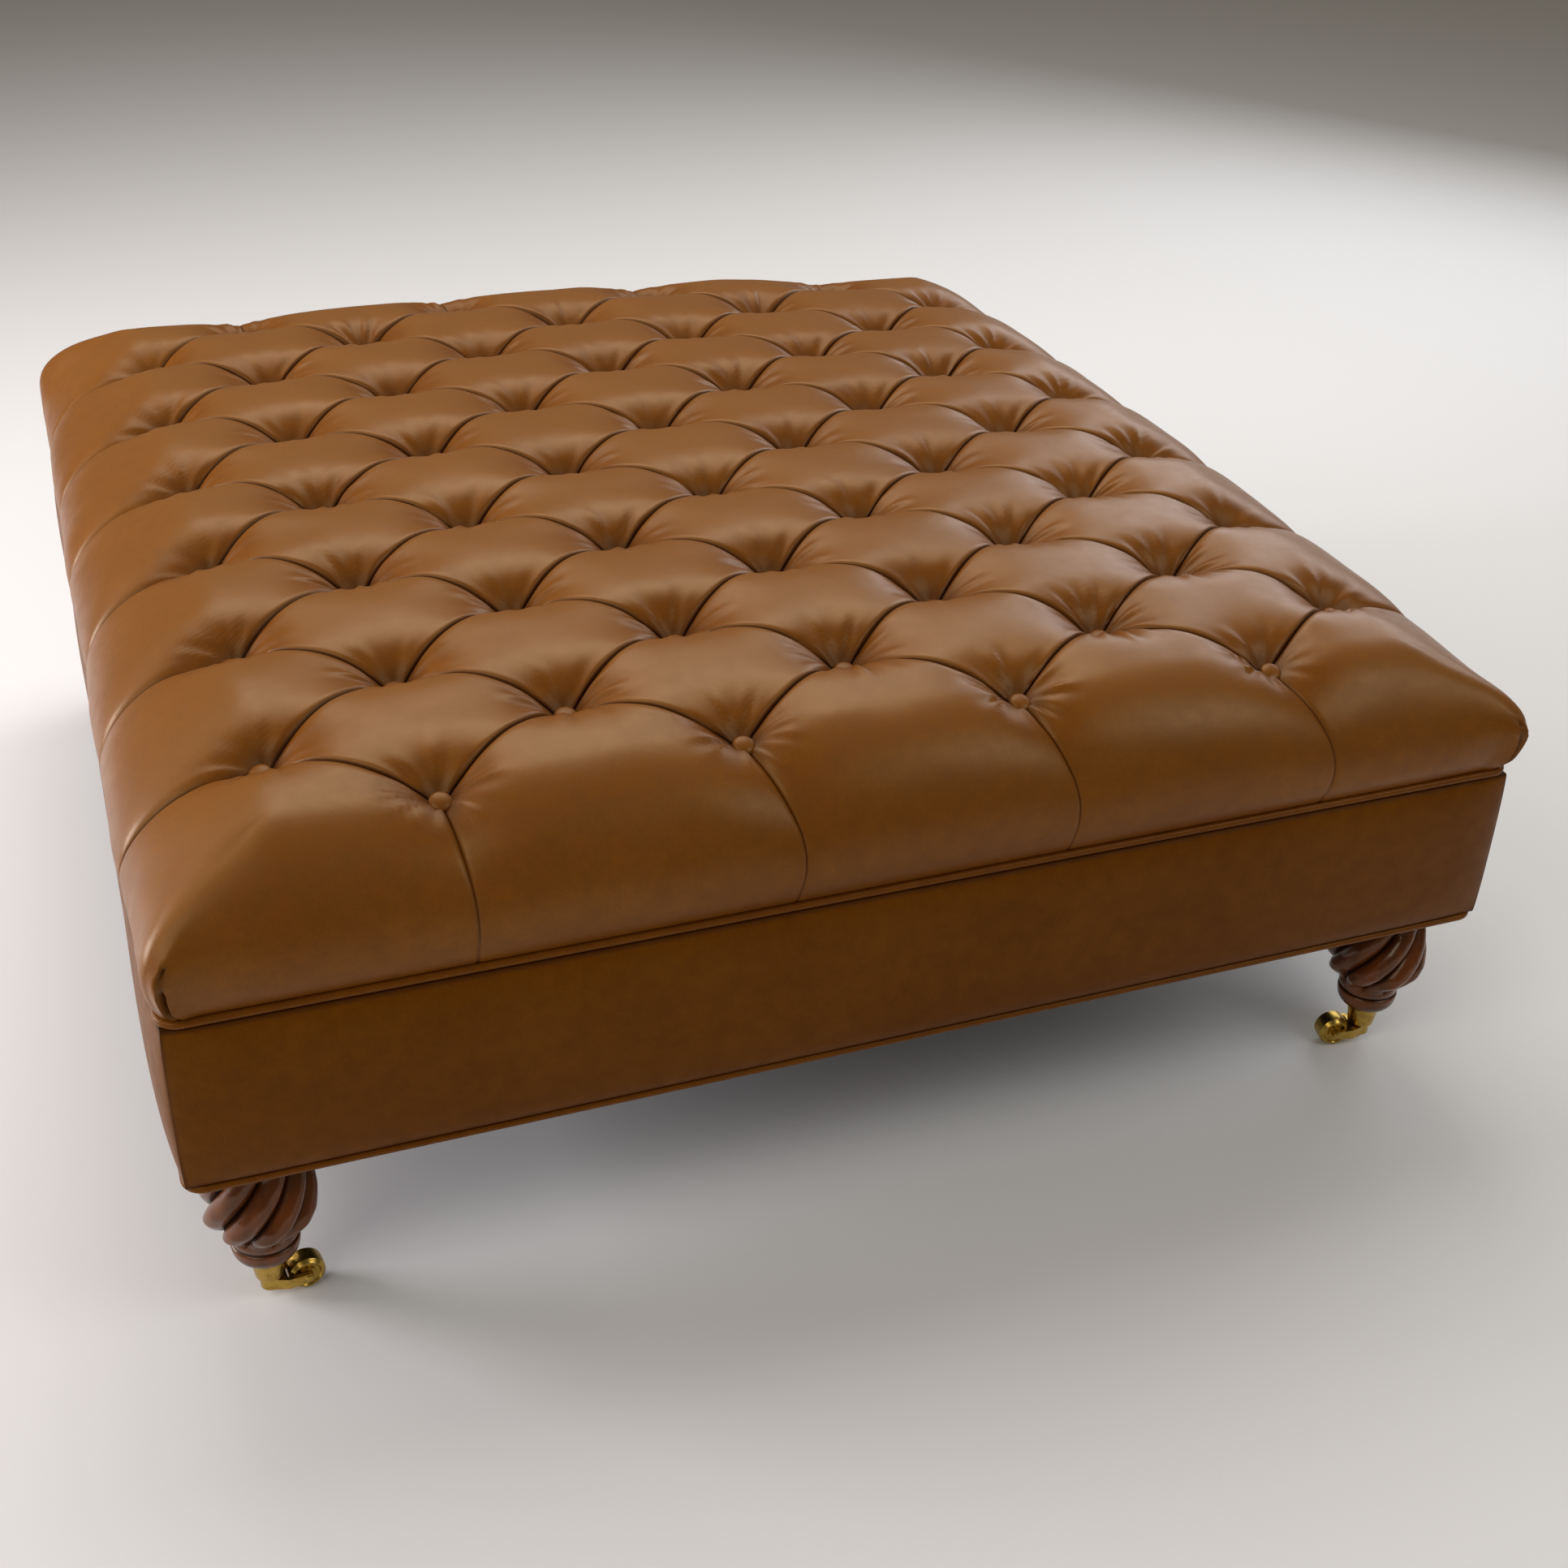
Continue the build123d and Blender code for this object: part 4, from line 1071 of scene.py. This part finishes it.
        dart = np.exp(-(((off + self.slit_shift) / self.slit_width) ** 2))
        dart = dart * smoothstep(0.61, 0.65, deep) * inside
        out = (ear * self.ear + crisp * self.crease) * inside - dart * self.slit
        points[..., 0] += sign_x * out * 0.8
        points[..., 1] += sign_y * out
        near_x = 1.0 - smoothstep(0.0, 0.2, flat[..., 0] - first[0])
        near_y = 1.0 - smoothstep(0.0, 0.14, flat[..., 1] - second[1])
        points[..., 0] += lean * self.lean_curve(past_y) * near_x
        points[..., 1] += side_lean * self.lean_curve(past_x) * near_y
        # The slit is painted dark, a little wider than its groove, as shade.
        self.add(shape, points, sign_x * sign_y > 0, np.maximum(dark, np.sqrt(dart) * 0.95), crest)

    def build(self, palette: Palette) -> bpy.types.Object:
        """Build the cover over all its puffs.

        Args:
            palette: The finishes.

        Returns:
            The cover, riding on the ottoman.
        """
        shape = Shape()
        tag = 0
        for row in range(1, self.rows - 1):
            count = self.long_row - 1 - (row + 1) % 2
            for index in range(count):
                tag += 1
                self.diamond(shape, self.pitch_x * (index - (count - 1) / 2),
                             self.pitch_y * (row - (self.rows - 1) / 2), tag)
        for side, sign in (("front", 1.0), ("back", -1.0)):
            for index in range(self.long_row - 2):
                tag += 1
                leans = (self.front_leans[index] * sign, self.front_leans[index + 1] * sign)
                self.side_panel(shape, side, self.pitch_x * (index - (self.long_row - 3) / 2), leans, tag)
        for side, sign in (("left", -1.0), ("right", 1.0)):
            for index in range((self.rows - 3) // 2):
                tag += 1
                middle = 2 * self.pitch_y * (index - ((self.rows - 3) // 2 - 1) / 2)
                self.side_panel(shape, side, middle, (self.side_lean * sign, self.side_lean * sign), tag)
        for sign_y in (-1.0, 1.0):
            for sign_x in (-1.0, 1.0):
                tag += 1
                lean = self.front_leans[0 if sign_x < 0 else -1] * (1.0 if sign_y < 0 else -1.0)
                self.corner(shape, sign_x, sign_y, lean, self.side_lean * sign_x, tag)
        made = shape.piece("tufted_leather_cover")
        sharpen(made, 62.0)
        palette.dress(made, Finish.LEATHER, Variant.FOLDED)
        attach(made, "ottoman")
        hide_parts("tufted_cover")
        return made


@dataclass
class CoveredButtons:
    """The leather buttons: low domes that lean out where the cushion starts to turn down."""

    radius: float = 0.0098
    stand: float = 0.0064
    sunk: float = 0.0020
    lean: float = 23.0
    sideways: float = 0.55
    wobble: float = 0.25
    around: int = 36

    def outline(self) -> tuple[Array, Array]:
        """Radius and height of the dome from its middle to its sunk back, and the shade painted on each
        place, darkest at the sunk back.
        """
        turn = np.linspace(0.0, 1.0, 12) * np.pi / 2.0
        dome = np.stack([self.radius * np.sin(turn), self.stand * np.cos(turn) ** 0.62], -1)
        back = np.array([[self.radius * 0.96, -0.4], [self.radius * 0.80, -0.85], [0.0, -1.0]])
        back[:, 1] *= self.sunk
        points = np.concatenate([dome, back])
        return points, 1.0 - smoothstep(0.10, 0.66, points[:, 1] / self.stand)

    def build(self, cover: TuftedCover, palette: Palette) -> bpy.types.Object:
        """Build the buttons at the bottom of the cover's funnels.

        Args:
            cover: The cover they hold down.
            palette: The finishes.

        Returns:
            All the buttons as one piece.
        """
        shape = Shape()
        outline, dark = self.outline()
        angle = np.linspace(0.0, 2.0 * np.pi, self.around + 1)
        r, theta = np.meshgrid(outline[:, 0], angle, indexing="ij")
        up = np.repeat(outline[:, 1:2], len(angle), axis=1)
        for index, (x, y) in enumerate(cover.buttons):
            wobble = hashed(np.array([[index, 0, 0], [index, 1, 0]], float), 31) - 0.5
            lean_x = smoothstep(0.38, 0.50, abs(x)) * np.sign(x) * self.sideways + wobble[0] * self.wobble
            lean_y = smoothstep(0.36, 0.54, abs(y)) * np.sign(y) + wobble[1] * self.wobble
            lean = math.radians(self.lean)
            axis = np.array([math.sin(lean * lean_x), math.sin(lean * lean_y), 0.0])
            axis[2] = math.sqrt(1.0 - axis[0] ** 2 - axis[1] ** 2)
            side = np.cross([0.0, 1.0, 0.0], axis)
            side = side / np.linalg.norm(side)
            other = np.cross(axis, side)
            z = float(cover.crest_height(x, y) - cover.seat_depth(x, y))
            points = (r * np.cos(theta))[..., None] * side + (r * np.sin(theta))[..., None] * other
            points = points + up[..., None] * axis + np.array([x, y, z])
            # Painted shade towards the button's sunk back, and a faint painted highlight on its dome.
            shape.grid(points, flip=True, fold=dark[:, None], crest=0.1 * (1.0 - dark[:, None]))
        made = shape.piece("covered_buttons")
        palette.dress(made, Finish.LEATHER, Variant.FOLDED)
        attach(made, "ottoman")
        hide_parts("tuft_buttons")
        return made


# ----------------------------------------------------------------------------- band


@dataclass
class Band:
    """The plain leather band: four padded panels that meet in a seam at each corner."""

    thickness: float = 0.012
    swell: float = 0.0125
    end_swell: float = 0.0015
    seam_width: float = 0.004
    rim_width: float = 0.005
    ripple_size: float = 0.16
    ripple_height: float = 0.0011
    columns: int = 160
    rows: int = 28

    def build(self, palette: Palette) -> list[bpy.types.Object]:
        """Build the four panels.

        Args:
            palette: The finishes.

        Returns:
            The panels.
        """
        made = []
        low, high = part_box("band_front")
        half = high.x
        a, b = np.meshgrid(graded(self.columns, 0.75), graded(self.rows, 0.7), indexing="ij")
        for index, side in enumerate(SIDES):
            shape = Shape()
            end = 1.0 - np.abs(a) ** 26
            bulge = self.end_swell + (self.swell - self.end_swell) * end
            profile = np.sqrt(np.maximum(1.0 - np.abs(b) ** 2.4, 0.0))
            x = a * half
            z = low.z + (b + 1.0) / 2.0 * (high.z - low.z)
            flat = np.stack([x, z, np.full_like(x, index * 1.7)], -1).reshape(-1, 3)
            ripple = value_noise(flat * np.array([1.0, 1.6, 1.0]), self.ripple_size, 21 + index)
            ripple = ripple.reshape(x.shape) * self.ripple_height
            out = half + bulge * profile + ripple * profile * end
            x = x + np.sign(x) * (out - half) * np.abs(a) ** 40
            front = np.stack([x, -out, z], -1)
            back = np.stack([a * (half - self.thickness), -np.full_like(x, half - self.thickness), z], -1)
            # The corner seams are darkened, and shade is painted along the top and bottom edges under the
            # welts.
            seam = unit(1.0 - (1.0 - np.abs(a)) * half / self.seam_width)
            rim = unit(1.0 - (1.0 - np.abs(b)) * (high.z - low.z) / 2.0 / self.rim_width)
            fold = np.maximum(seam * 0.5, rim * 0.8)
            degrees = 90.0 * index
            shape.grid(turned(front, degrees), flip=True, fold=fold, crest=np.zeros(1))
            shape.grid(turned(back, degrees), fold=fold, crest=np.zeros(1))
            # The edge strips are painted fully in shade.
            edges = ((np.s_[:, 0], False), (np.s_[:, -1], True), (np.s_[0], True), (np.s_[-1], False))
            for edge, flip in edges:
                strip = np.stack([turned(front[edge], degrees), turned(back[edge], degrees)], 1)
                shape.grid(strip, flip=flip, fold=np.ones(1), crest=np.zeros(1))
            panel = shape.piece(f"band_panel_{side}")
            sharpen(panel, 50.0)
            palette.dress(panel, Finish.LEATHER, Variant.BAND)
            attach(panel, "ottoman")
            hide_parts(f"band_{side}")
            made.append(panel)
        return made


# ----------------------------------------------------------------------------- feet


@dataclass
class CarvedFoot:
    """A turned foot whose bulb is carved in eight lobes that climb to the right."""

    offset: float = 0.5525
    cup_top: float = 0.0478
    collar_top: float = 0.0698
    rail_bottom: float = 0.1818
    lobes: int = 8
    twist: float = 122.0
    around: int = 288
    heights: tuple[float, ...] = (0.0, 0.03, 0.09, 0.16, 0.23, 0.32, 0.45, 0.58, 0.70, 0.77, 0.83, 0.90, 1.0)
    radii: tuple[float, ...] = (
        0.0285, 0.0296, 0.0312, 0.0395, 0.0462, 0.0492, 0.0488, 0.0466, 0.0430, 0.0398, 0.0372, 0.0362, 0.0366
    )
    lobe_depth: float = 0.0125
    cap_inset: float = 0.002
    turns: tuple[float, ...] = (20.0, 8.0, 31.0, 12.0)

    def bulb(self) -> tuple[Array, Array]:
        """The carved bulb's points and groove value.

        Returns:
            A grid of height by angle. The radius is the outline's less the lobe depth times
            1 - |cos| to the power 0.62, which makes full lobes with narrow grooves between them. The lobes
            end in a smooth band below and in a neck under the rail.
        """
        rise = np.linspace(0.0, 1.0, 130)
        angle = np.linspace(0.0, 2.0 * np.pi, self.around + 1)
        h, theta = np.meshgrid(rise, angle, indexing="ij")
        radius = np.interp(h, self.heights, self.radii)
        for _ in range(3):
            radius[1:-1] = 0.25 * radius[:-2] + 0.5 * radius[1:-1] + 0.25 * radius[2:]
        phase = (theta - np.radians(self.twist) * h) * self.lobes / 2.0
        lobe = np.abs(np.cos(phase)) ** 0.62
        ends = smoothstep(0.04, 0.16, h) * (1.0 - smoothstep(0.72, 0.85, h))
        reach = radius - self.lobe_depth * (1.0 - lobe) * ends
        z = self.collar_top + (self.rail_bottom - self.collar_top) * h
        groove = smoothstep(0.45, 0.95, 1.0 - lobe) * ends
        return polar(reach, theta, z), groove

    def turning(self, profile: Sequence[tuple[float, float]]) -> Array:
        """A turned surface: each radius and height of the profile carried round the Z axis."""
        outline = np.array(profile)
        angle = np.linspace(0.0, 2.0 * np.pi, self.around + 1)
        r, theta = np.meshgrid(outline[:, 0], angle, indexing="ij")
        return polar(r, theta, np.repeat(outline[:, 1:2], self.around + 1, axis=1))

    def collar_profile(self) -> list[tuple[float, float]]:
        """Radius and height of the bowl-shaped collar, its edge bead and the groove above it."""
        low, top = self.cup_top, self.collar_top
        turns = np.linspace(0.0, 1.0, 14) * math.pi / 2.0
        bowl = [
            (0.0176 + 0.0116 * math.sin(t) ** 0.9, low + 0.0145 * (1.0 - math.cos(t)) ** 0.9) for t in turns
        ]
        shares = np.linspace(0.1, 1.0, 6)
        bead = [(0.0292 + 0.0003 * math.sin(t * math.pi), low + 0.0145 + 0.0042 * t) for t in shares]
        neck = [(0.0280, low + 0.0196), (0.0258, low + 0.0203), (0.0252, top), (0.0256, top + 0.0006)]
        return [(0.0, low)] + bowl + bead + neck

    def build(self, palette: Palette) -> list[bpy.types.Object]:
        """Build the four feet.

        Args:
            palette: The finishes.

        Returns:
            The feet.
        """
        made = []
        for index, corner in enumerate(CORNERS):
            shape = Shape()
            sign_x = -1.0 if "left" in corner else 1.0
            sign_y = -1.0 if "front" in corner else 1.0
            place = np.array([sign_x * self.offset, sign_y * self.offset, 0.0])
            points, groove = self.bulb()
            turn = self.turns[index]
            base = self.collar_top
            under = self.turning([(0.0256, base + 0.0006), (0.0272, base + 0.0003), (self.radii[0], base)])
            cap = self.turning([(self.radii[-1] - self.cap_inset, self.rail_bottom), (0.0, self.rail_bottom)])
            profile = self.turning(self.collar_profile())
            heights = profile[..., 2]
            neck = smoothstep(self.cup_top + 0.0190, self.cup_top + 0.0203, heights)
            rim = smoothstep(0.0282, 0.0294, np.hypot(profile[..., 0], profile[..., 1]))
            parts = (
                (profile, neck, rim * 0.5),
                (under, np.ones(1), np.zeros(1)),
                (points, groove, (1.0 - smoothstep(0.0, 0.22, groove)) * 0.35),
                (cap, np.zeros(1), np.zeros(1)),
            )
            for grid, dark, bright in parts:
                shape.grid(turned(grid, turn) + place, groove=dark, edge=bright)
            foot = shape.piece(f"carved_foot_{corner}")
            sharpen(foot, 70.0)
            palette.dress(foot, Finish.POLISHED_WOOD)
            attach(foot, "ottoman")
            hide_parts(f"foot_{corner}")
            made.append(foot)
        return made


# ----------------------------------------------------------------------------- castors


@dataclass
class Fittings:
    """Rigid CAD pieces that stay and get softened edges."""

    brass_bevel: float = 0.0006

    def build(self) -> int:
        """Soften the castors' edges.

        Returns:
            How many nodes were softened.
        """
        count = 0
        for name, node in frame["nodes"].items():
            if name.startswith(("castor_horn", "castor_cup")):
                bevel = node.modifiers.new("soft_edges", "BEVEL")
                bevel.width = self.brass_bevel
                bevel.segments = 2
                bevel.limit_method = "ANGLE"
                bevel.angle_limit = math.radians(40.0)
                count += 1
        return count


# ----------------------------------------------------------------------------- studio


@dataclass
class Studio:
    """Pale floor, soft lights and a camera where the photographer stood."""

    eye: tuple[float, float, float] = (-0.614, -1.885, 1.3038)
    focal_pixels: float = 2500.0
    frame_pixels: float = 1932.0
    right: tuple[float, float, float] = (0.936738, -0.348993, 0.026942)
    down: tuple[float, float, float] = (-0.160698, -0.497154, -0.852651)
    ahead: tuple[float, float, float] = (0.310964, 0.794381, -0.521786)

    def camera(self) -> None:
        """Place the camera by its right, down and forward ways in the row frame."""
        data = bpy.data.cameras.new("photo_camera")
        data.sensor_fit = "HORIZONTAL"
        data.sensor_width = 36.0
        data.lens = self.focal_pixels / self.frame_pixels * 36.0
        data.clip_end = 50.0
        camera = bpy.data.objects.new("photo_camera", data)
        bpy.context.scene.collection.objects.link(camera)
        turn = Matrix((Vector(self.right), -Vector(self.down), -Vector(self.ahead))).transposed().to_4x4()
        camera.matrix_world = Matrix.Translation(Vector(self.eye)) @ turn
        bpy.context.scene.camera = camera

    def floor(self) -> None:
        """A wide pale floor."""
        mesh = bpy.data.meshes.new("floor")
        reach = 12.0
        corners = [(-reach, -reach, 0), (reach, -reach, 0), (reach, reach, 0), (-reach, reach, 0)]
        mesh.from_pydata(corners, [], [(0, 1, 2, 3)])
        floor = bpy.data.objects.new("floor", mesh)
        bpy.context.scene.collection.objects.link(floor)
        graph = Graph("pale_floor")
        mesh.materials.append(graph.finish(Base_Color=(0.86, 0.86, 0.86), Roughness=0.9))

    def light(self, name: str, at: Vector, size: tuple[float, float], power: float, colour: Colour) -> None:
        """Add a soft rectangular light that faces the cushion.

        Args:
            name: Its name.
            at: Its place.
            size: Width and height.
            power: Watts.
            colour: Its colour.
        """
        data = bpy.data.lights.new(name, "AREA")
        data.shape = "RECTANGLE"
        data.size, data.size_y = size
        data.energy = power
        data.color = colour
        lamp = bpy.data.objects.new(name, data)
        lamp.location = at
        lamp.rotation_euler = (Vector((0.0, 0.0, 0.35)) - at).to_track_quat("-Z", "Y").to_euler()
        bpy.context.scene.collection.objects.link(lamp)

    def build(self) -> None:
        """Make the floor, the lights, the sky and the camera."""
        self.camera()
        self.floor()
        self.light("ceiling", Vector((0.2, 1.35, 3.0)), (2.8, 2.2), 57.0, (1.0, 0.96, 0.91))
        self.light("ceiling_left", Vector((-2.3, 1.0, 2.3)), (2.4, 2.2), 14.0, (1.0, 0.94, 0.92))
        self.light("window_left", Vector((-2.9, 0.7, 0.95)), (1.2, 0.8), 52.0, (0.98, 0.94, 1.0))
        self.light("window_right", Vector((2.8, 1.8, 1.7)), (2.4, 1.8), 31.0, (0.93, 0.95, 1.0))
        self.light("window_front", Vector((1.7, -1.9, 2.2)), (1.4, 1.1), 15.0, (0.95, 0.96, 1.0))
        self.light("room_front", Vector((-2.3, -1.7, 2.5)), (2.0, 1.6), 30.0, (1.0, 0.95, 0.88))
        world = bpy.data.worlds.new("room")
        world.use_nodes = True
        background = world.node_tree.nodes["Background"]
        background.inputs["Color"].default_value = (1.0, 0.88, 0.70, 1.0)
        background.inputs["Strength"].default_value = 0.13
        bpy.context.scene.world = world
        bpy.context.scene.view_settings.view_transform = "Standard"


def main() -> None:
    """Build the ottoman's looks in order."""
    logging.basicConfig(level=logging.INFO, format="%(name)s: %(message)s")
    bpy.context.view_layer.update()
    palette = Palette()
    log.info("dressed %d nodes", palette.dress_nodes())
    cover = TuftedCover()
    pieces = [cover.build(palette), CoveredButtons().build(cover, palette)]
    pieces += Band().build(palette) + CarvedFoot().build(palette)
    for piece in pieces:
        log.info("%s: %d faces", piece.name, len(piece.data.polygons))
    log.info("softened %d fittings", Fittings().build())
    Studio().build()


if __name__ == "__main__":
    main()
